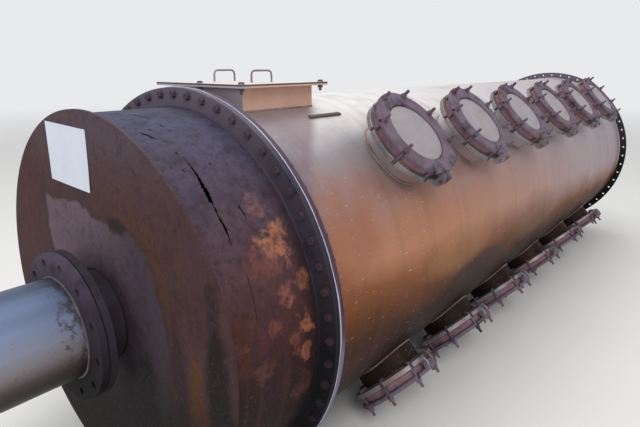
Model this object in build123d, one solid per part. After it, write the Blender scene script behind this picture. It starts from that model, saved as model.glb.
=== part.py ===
from build123d import *
from math import cos, radians, sin, sqrt
import os

# A stainless steel process tank that lies on its side: a rolled shell with two rows of
# clamped manholes along one flank, a bolted carbon steel drum with a flanged nozzle at one
# end, an open body flange at the other, and a bolted hatch on top. Millimetres, +Z up.
# The origin is the centre of the open flange's face, and +X points out of that mouth.

# Seats and joints
seat_gap = 0.3

# Shell
shell_diameter = 1440.0
shell_wall = 5.0
shell_length = 4566.0
end_course_length = 520.0

# Body flanges, a pair at the drum and one at the open end
body_flange_width = 58.0
body_flange_thickness = 22.0
body_bolt_edge = 24.0
body_bolt_hole = 18.0
body_bolt_count = 56
body_gasket_thickness = 3.0

# Drum and its flat end, which stands out past the wall by a lip
drum_step = 15.0
drum_wall = 6.3
drum_length = 384.0
end_plate_lip = 16.0
end_plate_thickness = 10.0

# Nozzle on the end plate and the pipe stub that stands against it
nozzle_diameter = 324.0
nozzle_wall = 6.0
nozzle_projection = 115.0
nozzle_flange_diameter = 520.0
nozzle_flange_thickness = 24.0
nozzle_bolt_circle = 456.0
nozzle_bolt_hole = 26.0
nozzle_bolt_count = 12
nozzle_bolt_turn = 10.7
nozzle_gasket_thickness = 4.0
nozzle_gasket_diameter = 410.0
pipe_diameter = 355.0
pipe_wall = 6.0
pipe_stub_length = 340.0

# Hatch on top of the shell
hatch_setback = 122.0
hatch_length = 391.0
hatch_width = 427.0
hatch_wall = 6.0
hatch_rise = 57.0
hatch_overhang = 48.0
hatch_flange_thickness = 6.0
hatch_lid_thickness = 7.0
handle_spread = 230.0
handle_length = 112.0
handle_height = 50.0
handle_bar = 8.0
handle_bend = 15.0

# Flat bar welded along the shell beside the hatch
bar_angle = 65.0
bar_start = 393.0
bar_length = 197.0
bar_width = 16.0
bar_thickness = 8.0

# Manholes: two rows on the same flank, above and below the middle
manhole_count = 6
first_manhole = 704.0
last_manhole = 694.0
upper_row_angle = 43.6
lower_row_angle = 45.5
neck_diameter = 304.0
neck_wall = 5.0
neck_height = 92.0
neck_flange_diameter = 418.0
neck_flange_thickness = 22.0
lid_diameter = 372.0
lid_rim = 34.0
lid_thickness = 6.0
lid_face_drop = 5.0
lid_clearance = 2.0
clamp_ring_bore = 286.0
clamp_ring_thickness = 18.0
hook_count = 8
hook_circle = 388.0
hook_bar = 14.0
hook_foot = 16.0
hook_reach = 24.0
hook_stand_out = 40.0
slot_clearance = 1.0
hinge_ear_thickness = 8.0
hinge_ear_gap = 34.0
hinge_ear_reach = 30.0
hinge_ear_height = 58.0
hinge_corner = 12.0

# Sheet of plastic fixed to the end plate
label_width = 288.0
label_height = 210.0
label_thickness = 1.0
label_inset = 7.0
label_corner_angle = 69.4
label_tilt = 2.0

# Rust damage to the drum, each place as a share of the drum's length and an angle up from
# the level on the manhole side. A hole also has its length, width and the turn of its length.
rust_holes = (
    (0.627, 80.0, 88, 12, 112),
    (0.598, 71.9, 29, 8, 92),
    (0.742, 70.0, 26, 9, 114),
    (0.812, 67.3, 62, 18, 119),
    (0.597, 68.6, 13, 7, 12),
    (0.758, 77.9, 18, 8, 2),
    (0.837, 71.8, 12, 7, 20),
    (0.788, 52.8, 14, 7, 118),
    (0.730, 58.8, 16, 7, 104),
    (0.524, 53.5, 12, 8, 70),
    (0.511, 38.5, 54, 9, 99),
)
rust_tear = (
    (0.707, 57.4),
    (0.723, 53.3),
    (0.737, 49.3),
    (0.753, 46.3),
    (0.757, 43.2),
    (0.749, 40.6),
    (0.760, 37.9),
    (0.754, 35.0),
    (0.748, 31.0),
    (0.723, 31.7),
    (0.703, 34.6),
    (0.713, 37.3),
    (0.718, 40.1),
    (0.707, 42.2),
    (0.694, 45.3),
    (0.685, 48.7),
    (0.684, 53.0),
)
rust_crack = (0.712, 18.0, 190, 4, 88)

# Places that follow from the sizes
shell_radius = shell_diameter / 2
shell_bore = shell_radius - shell_wall
drum_radius = shell_radius - drum_step
plate_radius = drum_radius + end_plate_lip
body_flange_radius = shell_radius + body_flange_width
body_bolt_circle = 2 * (body_flange_radius - body_bolt_edge)
manhole_pitch = (shell_length - first_manhole - last_manhole) / (manhole_count - 1)
hatch_height = shell_radius + hatch_rise
shell_face = -shell_length
drum_face = shell_face - body_gasket_thickness
drum_end = drum_face - drum_length
plate_face = drum_end - end_plate_thickness
nozzle_face = plate_face - nozzle_projection
pipe_face = nozzle_face - nozzle_gasket_thickness
pipe_end = pipe_face - pipe_stub_length
flange_seat = shell_radius + neck_height - neck_flange_thickness
lid_seat = shell_radius + neck_height
gasket_radius = body_flange_radius - 1
ring_seat = lid_seat + lid_rim
ring_face = ring_seat + clamp_ring_thickness


def tube(outer, inner, start, end):
    """A round tube along X between two stations."""
    with BuildPart() as made:
        with BuildSketch(Plane.YZ.offset(start)):
            Circle(outer)
            Circle(inner, mode=Mode.SUBTRACT)
        extrude(amount=end - start)
    return made.part


def rod(radius, start, end):
    """A solid round bar along X between two stations."""
    with BuildPart() as made:
        with BuildSketch(Plane.YZ.offset(start)):
            Circle(radius)
        extrude(amount=end - start)
    return made.part


def bolt_holes(circle, hole, count, start, end):
    """Round cutters on a bolt circle, through the plates between two stations."""
    with BuildPart() as made:
        with BuildSketch(Plane.YZ.offset(start)):
            with PolarLocations(circle / 2, count):
                Circle(hole / 2)
        extrude(amount=end - start)
    return made.part


def upright(outer, inner, low, high):
    """A round tube along Z between two heights, the stock of every manhole piece."""
    with BuildPart() as made:
        with BuildSketch(Plane.XY.offset(low)):
            Circle(outer)
            if inner > 0:
                Circle(inner, mode=Mode.SUBTRACT)
        extrude(amount=high - low)
    return made.part


def row_places(angle):
    """Where the manholes of a row stand: each turns a piece built on +Z to its own place."""
    places = []
    for number in range(manhole_count):
        station = shell_face + first_manhole + number * manhole_pitch
        places.append(Location((station, 0, 0)) * Rotation(90 - angle, 0, 0))
    return places


def seam_stations():
    """Ends of the rolled courses: joints lie midway between neighbouring manholes."""
    stations = [shell_face]
    for number in range(0, manhole_count - 1, 2):
        stations.append(shell_face + first_manhole + (number + 0.5) * manhole_pitch)
    stations.append(-end_course_length)
    stations.append(0.0)
    return stations


def solids_at(piece, places):
    """Copies of one piece at every place, as one shape of separate solids."""
    return Compound(children=[place * piece.solid() for place in places])


def shell_openings():
    """Cutters for the manhole bores and the hatch mouth in the shell."""
    bore = upright(neck_diameter / 2 - neck_wall, 0, 0, lid_seat)
    cutters = [place * bore for place in row_places(upper_row_angle)]
    cutters += [place * bore for place in row_places(-lower_row_angle)]
    mouth = Box(
        hatch_length - 2 * hatch_wall,
        hatch_width - 2 * hatch_wall,
        shell_radius,
        align=(Align.MIN, Align.CENTER, Align.MIN),
    )
    cutters.append(Location((shell_face + hatch_setback + hatch_wall, 0, 0)) * mouth)
    return cutters


def shell_courses():
    """Rolled plate courses, butt welded end to end."""
    stations = seam_stations()
    cutters = shell_openings()
    courses = {}
    for number, (start, end) in enumerate(zip(stations, stations[1:]), 1):
        course = tube(shell_radius, shell_bore, start, end)
        for cutter in cutters:
            box = cutter.bounding_box()
            if box.max.X > start and box.min.X < end:
                course = course - cutter
        courses[f"shell_course_{number}"] = course
    return courses


def slip_on_flange(start, seat_radius):
    """A flat ring that sits around a wall and carries the body bolts."""
    return tube(
        body_flange_radius,
        seat_radius + seat_gap,
        start,
        start + body_flange_thickness,
    )


def open_flange():
    """The open end's flange, with every bolt hole empty."""
    start = -body_flange_thickness
    ring = slip_on_flange(start, shell_radius)
    return ring - bolt_holes(body_bolt_circle, body_bolt_hole, body_bolt_count, start, 0)


def drum_station(share):
    """A place along the drum, from 0 at the joint to 1 at the flat end."""
    return drum_face - share * drum_length


def on_drum(share, angle):
    """A frame on the drum's wall: X along the drum, Y up around it, Z outwards."""
    across = -drum_radius * cos(radians(angle))
    up = drum_radius * sin(radians(angle))
    outwards = (0, -cos(radians(angle)), sin(radians(angle)))
    return Plane((drum_station(share), across, up), x_dir=(1, 0, 0), z_dir=outwards)


def rust_cut(frame, outline):
    """A cutter straight through the drum's wall with the given outline."""
    with BuildPart() as made:
        with BuildSketch(frame):
            Polygon(*outline, align=None)
        extrude(amount=drum_radius / 8, both=True)
    return made.part


def rust_hole(share, angle, length, width, turn):
    """A cutter for one ragged hole, longer than it is wide."""
    end, side = length / 2, width / 2
    outline = (
        (-end, 0),
        (-0.45 * end, side),
        (0.1 * end, 0.45 * side),
        (0.5 * end, side),
        (end, -0.2 * side),
        (0.3 * end, -side),
        (-0.35 * end, -0.5 * side),
    )
    return rust_cut(on_drum(share, angle) * Rotation(0, 0, turn), outline)


def long_tear():
    """A cutter for the long tear, its outline laid flat on the middle of its stretch."""
    shares = [share for share, angle in rust_tear]
    angles = [angle for share, angle in rust_tear]
    middle = ((min(shares) + max(shares)) / 2, (min(angles) + max(angles)) / 2)
    outline = [
        (
            drum_station(share) - drum_station(middle[0]),
            drum_radius * sin(radians(angle - middle[1])),
        )
        for share, angle in rust_tear
    ]
    return rust_cut(on_drum(*middle), outline)


def drum_shell():
    """The drum's rolled wall, eaten through near its top and torn along one side."""
    wall = tube(drum_radius, drum_radius - drum_wall, drum_end, drum_face)
    for hole in rust_holes:
        wall = wall - rust_hole(*hole)
    return wall - long_tear() - rust_hole(*rust_crack)


def end_plate():
    """The flat plate that closes the drum, with the nozzle's hole through it."""
    plate = rod(plate_radius, plate_face, drum_end)
    return plate - rod(nozzle_diameter / 2 + seat_gap, plate_face, drum_end)


def pipe_ring(start, diameter):
    """A flat pipe flange that slips over the nozzle or the pipe."""
    end = start + nozzle_flange_thickness
    ring = tube(nozzle_flange_diameter / 2, diameter / 2 + seat_gap, start, end)
    holes = bolt_holes(nozzle_bolt_circle, nozzle_bolt_hole, nozzle_bolt_count, start, end)
    return ring - Rotation(nozzle_bolt_turn, 0, 0) * holes


def nozzle_pieces():
    """The nozzle, its flange, the gasket and the flanged stub that stands against it."""
    outer = nozzle_diameter / 2
    pipe_outer = pipe_diameter / 2
    pipe_bore = pipe_outer - pipe_wall
    rear = pipe_face - nozzle_flange_thickness
    return {
        "nozzle_neck": tube(outer, outer - nozzle_wall, nozzle_face, drum_end),
        "nozzle_flange": pipe_ring(nozzle_face, nozzle_diameter),
        "nozzle_gasket": tube(nozzle_gasket_diameter / 2, pipe_bore, pipe_face, nozzle_face),
        "pipe_flange": pipe_ring(rear, pipe_diameter),
        "pipe_stub": tube(pipe_outer, pipe_bore, pipe_end, pipe_face),
    }


def hatch_centre():
    """Middle of the hatch along the shell."""
    return shell_face + hatch_setback + hatch_length / 2


def hatch_frame(length, width, bore_length, bore_width, low, high):
    """A rectangular ring or plate centred over the hatch."""
    with BuildPart() as made:
        with BuildSketch(Plane.XY.offset(low)):
            with Locations((hatch_centre(), 0)):
                Rectangle(length, width)
                if bore_length > 0:
                    Rectangle(bore_length, bore_width, mode=Mode.SUBTRACT)
        extrude(amount=high - low)
    return made.part


def hatch_pieces():
    """The box on the shell, its flange, the lid and two handles."""
    bore_length = hatch_length - 2 * hatch_wall
    bore_width = hatch_width - 2 * hatch_wall
    lid_length = hatch_length + 2 * hatch_overhang
    lid_width = hatch_width + 2 * hatch_overhang
    flange_top = hatch_height + hatch_flange_thickness
    lid_top = flange_top + hatch_lid_thickness
    walls = hatch_frame(
        hatch_length, hatch_width, bore_length, bore_width, shell_radius / 2, hatch_height
    )
    walls = walls - rod(shell_radius + seat_gap, shell_face, 0)
    flange = hatch_frame(
        lid_length, lid_width, bore_length, bore_width, hatch_height, flange_top
    )
    lid = hatch_frame(lid_length, lid_width, 0, 0, flange_top, lid_top)
    return {
        "hatch_walls": walls,
        "hatch_flange": flange,
        "hatch_lid": lid,
        "hatch_handles": hatch_handles(lid_top),
    }


def handle_bow(face, length, height, bend, thickness):
    """A plate with its two upper corners rounded, standing on the hatch lid."""
    with BuildPart() as made:
        with BuildSketch(face) as bow:
            Rectangle(length, height, align=(Align.CENTER, Align.MIN))
            fillet(bow.vertices().sort_by(Axis.Y)[-2:], bend)
        extrude(amount=thickness / 2, both=True)
    return made.part


def hatch_handles(base):
    """Two bent bars, one each side of the lid's middle."""
    handles = []
    for side in (-1, 1):
        foot = (hatch_centre(), side * handle_spread / 2, base)
        face = Plane(foot, x_dir=(1, 0, 0), z_dir=(0, -1, 0))
        bow = handle_bow(face, handle_length, handle_height, handle_bend, handle_bar)
        gap = handle_bow(
            face,
            handle_length - 2 * handle_bar,
            handle_height - handle_bar,
            handle_bend - handle_bar,
            2 * handle_bar,
        )
        handles.append((bow - gap).solid())
    return Compound(children=handles)


def shell_bar():
    """A flat bar laid along the shell beside the hatch."""
    seat = sqrt(shell_radius**2 - (bar_width / 2) ** 2) + seat_gap
    bar = Box(
        bar_length,
        bar_width,
        bar_thickness,
        align=(Align.MIN, Align.CENTER, Align.MIN),
    )
    lifted = Location((shell_face + bar_start, 0, seat)) * bar
    cut = lifted - rod(shell_radius + seat_gap, shell_face, 0)
    return Rotation(90 - bar_angle, 0, 0) * cut


def slots(low, high):
    """Cutters for the hook slots that open outwards through a rim."""
    width = hook_bar + 2 * slot_clearance
    inner = hook_circle / 2 - hook_bar / 2 - slot_clearance
    slot = Location((inner, 0, low)) * Box(
        neck_flange_diameter,
        width,
        high - low,
        align=(Align.MIN, Align.CENTER, Align.MIN),
    )
    step = 360 / hook_count
    return [Rotation(0, 0, (number + 0.5) * step) * slot for number in range(hook_count)]


def slotted_ring(bore, low, high):
    """A flat ring with a slot in its rim for every hook."""
    ring = upright(neck_flange_diameter / 2, bore, low, high)
    for slot in slots(low, high):
        ring = ring - slot
    return ring


def manhole_neck():
    """A short pipe set on the shell, its foot cut to the shell's curve."""
    outer = neck_diameter / 2
    neck = upright(outer, outer - neck_wall, shell_radius / 2, lid_seat)
    across = 2 * neck_diameter
    return neck - rod(shell_radius + seat_gap, -across, across)


def manhole_lid():
    """A pressed lid: its rim turns down to the flange, its face rises in the ring's bore."""
    outer = lid_diameter / 2
    raised = clamp_ring_bore / 2 - lid_clearance
    face = ring_face - lid_face_drop
    solid = upright(outer, 0, lid_seat, ring_seat) + upright(raised, 0, ring_seat, face)
    solid -= upright(outer - lid_thickness, 0, lid_seat, ring_seat - lid_thickness)
    return solid - upright(raised - lid_thickness, 0, lid_seat, face - lid_thickness)


def hook():
    """A hook bolt: its foot catches the flange from behind and its shank stands out."""
    inner = hook_circle / 2 - hook_bar / 2
    outer = hook_circle / 2 + hook_bar / 2
    low = flange_seat - seat_gap - hook_foot
    bend = hook_foot / 2
    with BuildPart() as made:
        with BuildSketch(Plane.XZ.offset(-hook_bar / 2)):
            Polygon(
                (inner, ring_face + hook_stand_out),
                (outer, ring_face + hook_stand_out),
                (outer, low + bend),
                (outer - bend, low),
                (inner - hook_reach, low),
                (inner - hook_reach, flange_seat - seat_gap),
                (inner, flange_seat - seat_gap),
                align=None,
            )
        extrude(amount=hook_bar)
    return made.part


def hinge_plate(thickness, low, high, start):
    """A plate in the plane across the hinge, rounded at its free end."""
    reach = neck_flange_diameter / 2 + hinge_ear_reach
    seat = neck_flange_diameter / 2 + seat_gap
    with BuildPart() as made:
        with BuildSketch(Plane.YZ.offset(start)):
            Polygon(
                (seat, low),
                (reach - hinge_corner, low),
                (reach, low + hinge_corner),
                (reach, high - hinge_corner),
                (reach - hinge_corner, high),
                (seat, high),
                align=None,
            )
        extrude(amount=thickness)
    return made.part


def hinge_ears():
    """The pair of ears that stands out from the neck flange."""
    half = hinge_ear_gap / 2
    low = flange_seat
    high = low + hinge_ear_height
    return [
        hinge_plate(hinge_ear_thickness, low, high, half),
        hinge_plate(hinge_ear_thickness, low, high, -half - hinge_ear_thickness),
    ]


def hinge_knuckle():
    """The block that carries the clamp ring between the ears."""
    width = hinge_ear_gap - 2 * seat_gap
    high = ring_face
    return hinge_plate(width, high - 0.8 * hinge_ear_height, high, -width / 2)


def manhole_row(row, angle):
    """All manhole pieces of one row, each kind in one node."""
    places = row_places(angle)
    side = -1 if angle > 0 else 1
    hinge_side = Rotation(0, 0, 0 if side > 0 else 180)
    neck_bore = neck_diameter / 2 + seat_gap
    hooks = [
        place * Rotation(0, 0, (number + 0.5) * 360 / hook_count)
        for place in places
        for number in range(hook_count)
    ]
    ears = [place * hinge_side for place in places]
    ear_solids = [place * ear.solid() for place in ears for ear in hinge_ears()]
    return {
        f"{row}_necks": solids_at(manhole_neck(), places),
        f"{row}_neck_flanges": solids_at(
            slotted_ring(neck_bore, flange_seat, lid_seat), places
        ),
        f"{row}_lids": solids_at(manhole_lid(), places),
        f"{row}_clamp_rings": solids_at(
            slotted_ring(clamp_ring_bore / 2, ring_seat, ring_face), places
        ),
        f"{row}_hook_bolts": solids_at(hook(), hooks),
        f"{row}_hinge_ears": Compound(children=ear_solids),
        f"{row}_hinge_knuckles": solids_at(hinge_knuckle(), ears),
    }


def label():
    """A blank sheet hung a little askew from its outer corner, near the plate's rim."""
    sheet = Box(
        label_thickness,
        label_width,
        label_height,
        align=(Align.MAX, Align.MAX, Align.MAX),
    )
    turned = Rotation(label_tilt, 0, 0) * sheet
    reach = plate_radius - label_inset
    across = reach * cos(radians(label_corner_angle))
    up = reach * sin(radians(label_corner_angle))
    return Location((plate_face, across, up)) * turned


def all_pieces():
    """Every node of the tank by name."""
    pieces = {
        "drum_shell": drum_shell(),
        "drum_flange": slip_on_flange(drum_face - body_flange_thickness, drum_radius),
        "end_plate": end_plate(),
        "body_gasket": tube(gasket_radius, shell_bore, drum_face, shell_face),
        "shell_flange": slip_on_flange(shell_face, shell_radius),
        "open_flange": open_flange(),
        "shell_bar": shell_bar(),
        "label": label(),
    }
    pieces.update(nozzle_pieces())
    pieces.update(shell_courses())
    pieces.update(hatch_pieces())
    pieces.update(manhole_row("upper", upper_row_angle))
    pieces.update(manhole_row("lower", -lower_row_angle))
    return pieces


os.makedirs("parts", exist_ok=True)
for name, piece in all_pieces().items():
    export_step(piece, f"parts/{name}.step")
    print(name, len(piece.solids()), round(piece.volume / 1000), "cm3")
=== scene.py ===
"""Looks of a stainless steel process tank, laid out as an add-on and run as a script.

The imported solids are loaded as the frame. Plates and pipes keep their solids and get a
finish. Fittings are replaced by finer surfaces, and welds, bolts and nuts are added.
Lengths are metres in the frame's axes: X along the tank and out of its open mouth, Z up,
manholes towards -Y. A manhole's own axes have X along the tank and Z outwards.
"""

import math

import bmesh
import bpy
import numpy as np
from bpy.props import FloatProperty, FloatVectorProperty, IntProperty
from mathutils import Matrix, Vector


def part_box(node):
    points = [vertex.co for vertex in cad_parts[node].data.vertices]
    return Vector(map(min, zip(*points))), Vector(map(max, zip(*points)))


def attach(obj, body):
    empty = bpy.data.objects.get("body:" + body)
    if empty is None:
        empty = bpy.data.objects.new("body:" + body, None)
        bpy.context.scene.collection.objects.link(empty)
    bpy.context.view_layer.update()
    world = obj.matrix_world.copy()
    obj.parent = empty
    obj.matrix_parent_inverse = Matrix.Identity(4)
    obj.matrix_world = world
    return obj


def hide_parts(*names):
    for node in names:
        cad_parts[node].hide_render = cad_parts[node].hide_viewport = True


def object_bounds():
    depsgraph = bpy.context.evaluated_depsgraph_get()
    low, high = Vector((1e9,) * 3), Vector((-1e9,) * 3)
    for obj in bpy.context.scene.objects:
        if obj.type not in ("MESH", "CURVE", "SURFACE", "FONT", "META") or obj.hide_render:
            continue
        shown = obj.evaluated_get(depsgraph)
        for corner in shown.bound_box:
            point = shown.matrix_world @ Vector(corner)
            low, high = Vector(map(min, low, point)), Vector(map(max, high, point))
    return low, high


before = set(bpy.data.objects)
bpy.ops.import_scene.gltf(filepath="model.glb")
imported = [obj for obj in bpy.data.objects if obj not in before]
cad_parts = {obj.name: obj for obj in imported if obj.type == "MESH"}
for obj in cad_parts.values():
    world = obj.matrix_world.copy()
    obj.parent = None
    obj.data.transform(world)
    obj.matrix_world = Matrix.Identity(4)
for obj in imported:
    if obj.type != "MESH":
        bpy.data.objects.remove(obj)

bl_info = {
    "name": "Stainless steel tank",
    "version": (1, 0, 0),
    "blender": (4, 5, 0),
    "location": "View3D > Sidebar > Tank",
    "description": "Finishes and small fittings of a process tank that lies on its side",
    "category": "Add Mesh",
}

SOLID_BOX = [list(corner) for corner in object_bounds()]
MM = 0.001
STEEL, RUSTY = "stainless_steel", "rusty_steel"

# The drum's long tear: degrees above the level, and its two sides as shares of the drum's
# length from the joint. Then how much of its width is eaten through at such an angle.
TEAR = (
    (57.4, 0.707, 0.707), (53.3, 0.723, 0.684), (49.3, 0.737, 0.685),
    (46.3, 0.753, 0.691), (43.2, 0.757, 0.703), (40.6, 0.749, 0.717),
    (37.9, 0.760, 0.714), (35.0, 0.754, 0.705), (31.0, 0.748, 0.735),
)
TEAR_OPENING = (
    (57.4, 0.50), (52.0, 0.42), (49.5, 0.48), (47.0, 0.62), (43.0, 0.62), (41.6, 0.10),
    (40.8, 0.45), (38.0, 0.40), (36.0, 0.50), (33.0, 0.36), (31.0, 0.40),
)


def linear(code):
    """Linear colour of an sRGB hex code.

    A part c becomes c / 12.92 where dark, and ((c + 0.055) / 1.055)^2.4 above.
    """
    parts = [int(code[at : at + 2], 16) / 255 for at in (1, 3, 5)]
    return tuple(part / 12.92 if part <= 0.04045 else ((part + 0.055) / 1.055) ** 2.4 for part in parts)


def radius_of(name):
    """Outer radius of a round solid whose axis is the tank's."""
    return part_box(name)[1].y


def ends_of(name):
    """Lowest and highest X of a solid."""
    low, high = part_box(name)
    return low.x, high.x


def length(label, text, value):
    """A length of the panel, in metres."""
    return FloatProperty(name=label, description=text, default=value, min=0.0, unit="LENGTH")


def angle(label, text, degrees):
    """An angle of the panel."""
    return FloatProperty(name=label, description=text, default=math.radians(degrees), subtype="ANGLE")


def tally(label, text, value, least):
    """A count of the panel."""
    return IntProperty(name=label, description=text, default=value, min=least)


def colour(label, text, code):
    """A colour of the panel, written as an sRGB hex code."""
    shade, least, most = linear(code), 0.0, 1.0
    return FloatVectorProperty(
        name=label, description=text, default=shade, min=least, max=most, subtype="COLOR"
    )


# Sizes and colours of the panel


class TankShellSizes(bpy.types.PropertyGroup):
    """Sizes of the shell, its welds and its bolted joints"""

    girth_bead_width: length("Girth weld", "Width of a round weld seam", 0.009)
    girth_bead_height: length("Weld rise", "How far a seam stands proud", 0.0007)
    fillet_leg: length("Fillet weld", "Leg of the welds at the flanges", 0.007)
    nozzle_fillet: length("Nozzle weld", "Leg of the weld around the nozzle", 0.006)
    bolt_circle: length(
        "Bolt circle", "Radius of the body flange bolts", radius_of("open_flange") - 0.024
    )
    bolt_count: tally("Bolts", "Bolts of the closed joint", 56, 4)
    bolt_size: length("Bolt", "Diameter of the body flange bolts", 0.016)
    lip_height: length("Gasket lip", "How far the gasket stands out", 0.0045)


class TankManholeSizes(bpy.types.PropertyGroup):
    """Sizes of a manhole, with heights measured outwards from the tank's axis"""

    count: tally("Manholes", "Manholes in a row", 6, 1)
    first: length("First manhole", "From the shell's flange face to the first", 0.704)
    pitch: length("Pitch", "From one manhole to the next", 0.6336)
    upper_angle: angle("Upper row", "Above the level", 43.6)
    lower_angle: angle("Lower row", "Below the level", 45.5)
    neck_radius: length("Neck", "Outer radius of the neck", 0.152)
    rim_radius: length("Rim", "Outer radius of neck flange and clamp ring", 0.209)
    flange_seat: length("Neck flange back", "Height of its back face", 0.790)
    gasket_seat: length("Gasket seat", "Height of the neck flange's face", 0.812)
    gasket_thickness: length("Gasket", "Thickness of the lid's gasket", 0.003)
    lid_radius: length("Lid", "Outer radius of the lid", 0.186)
    ring_seat: length("Clamp ring back", "Height of its back face", 0.846)
    ring_face: length("Clamp ring face", "Height of its front face", 0.864)
    ring_bore: length("Clamp ring bore", "Radius of the ring's opening", 0.143)
    lid_face: length("Lid face", "Height of the lid's raised face", 0.859)
    hook_count: tally("Hook bolts", "Hook bolts of a manhole", 8, 2)
    hook_circle: length("Hook circle", "Radius at which the shanks stand", 0.194)
    hook_radius: length("Hook bar", "Radius of a hook bolt's bar", 0.007)
    hook_tip: length("Hook tip", "Height of the free end", 0.904)
    ear_gap: length("Ear gap", "Clear width between two hinge ears", 0.034)
    ear_thickness: length("Ear", "Thickness of a hinge ear", 0.008)
    ear_reach: length("Ear reach", "How far an ear stands out from the rim", 0.030)


class TankHatchSizes(bpy.types.PropertyGroup):
    """Sizes of the small pieces on the hatch"""

    handle_bar: length("Handle bar", "Radius of the handle's bar", 0.004)
    handle_length: length("Handle", "Length of a handle", 0.112)
    handle_height: length("Handle rise", "Height of a handle", 0.050)
    handle_spread: length("Handle spread", "Between the two handles", 0.230)
    bolt_inset: length("Bolt inset", "From the lid's edge to a bolt", 0.022)


class TankColours(bpy.types.PropertyGroup):
    """Main colours of the tank"""

    # The plate's colours by height are partly stains and partly painted light: the pale top stands for
    # sunlight and the sky's reflection, the browner, darker low flank for painted shade and the ground's
    # reflection.
    plate_top: colour("Plate, top", "Clean stainless plate along the top", "#dedad8")
    plate_upper: colour("Plate, upper", "Lightly stained plate above", "#99746b")
    plate_middle: colour("Plate, middle", "Stained plate at the middle", "#b27d5f")
    plate_low: colour("Plate, low", "Rust-stained plate below", "#623516")
    plate_under: colour("Plate, underside", "Dirty plate near the floor", "#261812")
    # Painted shadow of the hatch and the drum's flange on the plate beside the drum
    plate_near: colour("Plate, near end", "Greyer plate beside the drum", "#7a676f")
    plate_far: colour("Plate, open end", "Paler course at the open end", "#aa9da4")
    plate_mark: colour("Water marks", "Pale bluish marks on the plate", "#8f909c")
    scale_blue: colour("Scale, blue", "Smooth blue-grey mill scale", "#484960")
    rust_cool: colour("Rust, cool", "Purple-grey scale", "#4c4254")
    # Partly painted shade: the drum's dark underside.
    rust_dark: colour("Rust, dark", "Dark scale of the underside", "#1f1213")
    rust_ochre: colour("Rust, ochre", "Ochre water marks", "#4e3425")
    lid_grey: colour("Lid", "Plain face of the manhole lids", "#a0979d")
    rim_beige: colour("Neck flange", "Pinkish grey of the neck flanges", "#9c949a")
    # Painted reflection of the sky, laid as green-blue blotches on the neck flanges
    verdigris: colour("Green stain", "Green-blue stains on the neck flanges", "#607880")
    pipe_silver: colour("Pipe", "Bluish silver of the pipe", "#76829f")
    gasket_pale: colour("Gasket", "Pale edge of the joint's gasket", "#c4c8e0")
    gasket_red: colour("Lid gasket", "Red rubber under the lids", "#a8585a")
    # The hatch's tan is partly painted light, made paler to make up for the lid's shade on its sides.
    hatch_tan: colour("Hatch side", "Tan side of the hatch", "#e2bfb0")
    sheet_white: colour("Sheet", "Plain plastic sheet", "#dde4f2")
    floor: colour("Floor", "Studio floor", "#e4e3e0")


# Surfaces


def around(count):
    """Angles of so many even steps around a circle."""
    return np.linspace(0, 2 * np.pi, count, endpoint=False)


def round_x(station, radius, a):
    """Points around the tank's axis: (x, -r cos a, r sin a)."""
    station, radius, a = np.broadcast_arrays(station, radius, a)
    return np.stack([station, -radius * np.cos(a), radius * np.sin(a)], axis=-1)


def round_z(radius, height, a):
    """Points around the Z axis: (r cos a, r sin a, h)."""
    radius, height, a = np.broadcast_arrays(radius, height, a)
    return np.stack([radius * np.cos(a), radius * np.sin(a), height], axis=-1)


def surface(points, wrap_rows=False, wrap_columns=False):
    """Vertices and quads of a grid of points with shape (rows, columns, 3).

    The quad at (i, j) joins points (i, j), (i+1, j), (i+1, j+1) and (i, j+1). A wrapped
    side joins its last line of points to its first.
    """
    rows, columns = points.shape[:2]
    index = np.arange(rows * columns).reshape(rows, columns)
    if wrap_rows:
        index = np.vstack([index, index[:1]])
    if wrap_columns:
        index = np.hstack([index, index[:, :1]])
    corners = (index[:-1, :-1], index[1:, :-1], index[1:, 1:], index[:-1, 1:])
    return points.reshape(-1, 3), np.stack(corners, axis=-1).reshape(-1, 4)


def closed(points):
    """A surface of points that joins up both ways."""
    return surface(points, wrap_rows=True, wrap_columns=True)


def capped(points):
    """A grid of points with each end of its columns drawn in to its middle."""
    caps = points[:, [0, -1]].mean(axis=0, keepdims=True).repeat(len(points), axis=0)
    return np.concatenate([caps[:, :1], points, caps[:, 1:]], axis=1)


def together(*surfaces):
    """Several surfaces as one, each one's quads counted on from the last."""
    starts = np.cumsum([0] + [len(points) for points, quads in surfaces[:-1]])
    quads = [quads + start for start, (points, quads) in zip(starts, surfaces)]
    return np.concatenate([points for points, quads in surfaces]), np.concatenate(quads)


def stamped(shape, frames):
    """A copy of a surface in every frame: p' = R p + t for each 4 by 4 matrix."""
    points, quads = shape
    frames = np.asarray(frames)
    placed = np.einsum("nij,pj->npi", frames[:, :3, :3], points) + frames[:, None, :3, 3]
    offsets = np.arange(len(frames))[:, None, None] * len(points)
    return placed.reshape(-1, 3), (quads[None] + offsets).reshape(-1, 4)


def softened(corners, cut, steps=3):
    """A closed outline with each corner P rounded.

    The curve is P + (1-t)^2 d a + t^2 d b, where a and b are the unit edges that leave P
    and d is the cut, at most 0.45 of the shorter edge.
    """
    corners = np.asarray(corners, float)
    back = np.roll(corners, 1, axis=0) - corners
    ahead = np.roll(corners, -1, axis=0) - corners
    back_length = np.linalg.norm(back, axis=1, keepdims=True)
    ahead_length = np.linalg.norm(ahead, axis=1, keepdims=True)
    depth = np.minimum(cut, 0.45 * np.minimum(back_length, ahead_length))[:, None]
    t = np.linspace(0, 1, steps)[None, :, None]
    curve = (
        corners[:, None]
        + (1 - t) ** 2 * depth * (back / back_length)[:, None]
        + t**2 * depth * (ahead / ahead_length)[:, None]
    )
    return curve.reshape(-1, 2)


def turned(profile, sides):
    """A closed (radius, height) profile turned about Z: (r cos a, r sin a, h)."""
    profile = np.asarray(profile, float)
    points = round_z(profile[:, :1], profile[:, 1:], around(sides)[None])
    return closed(points)


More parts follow.
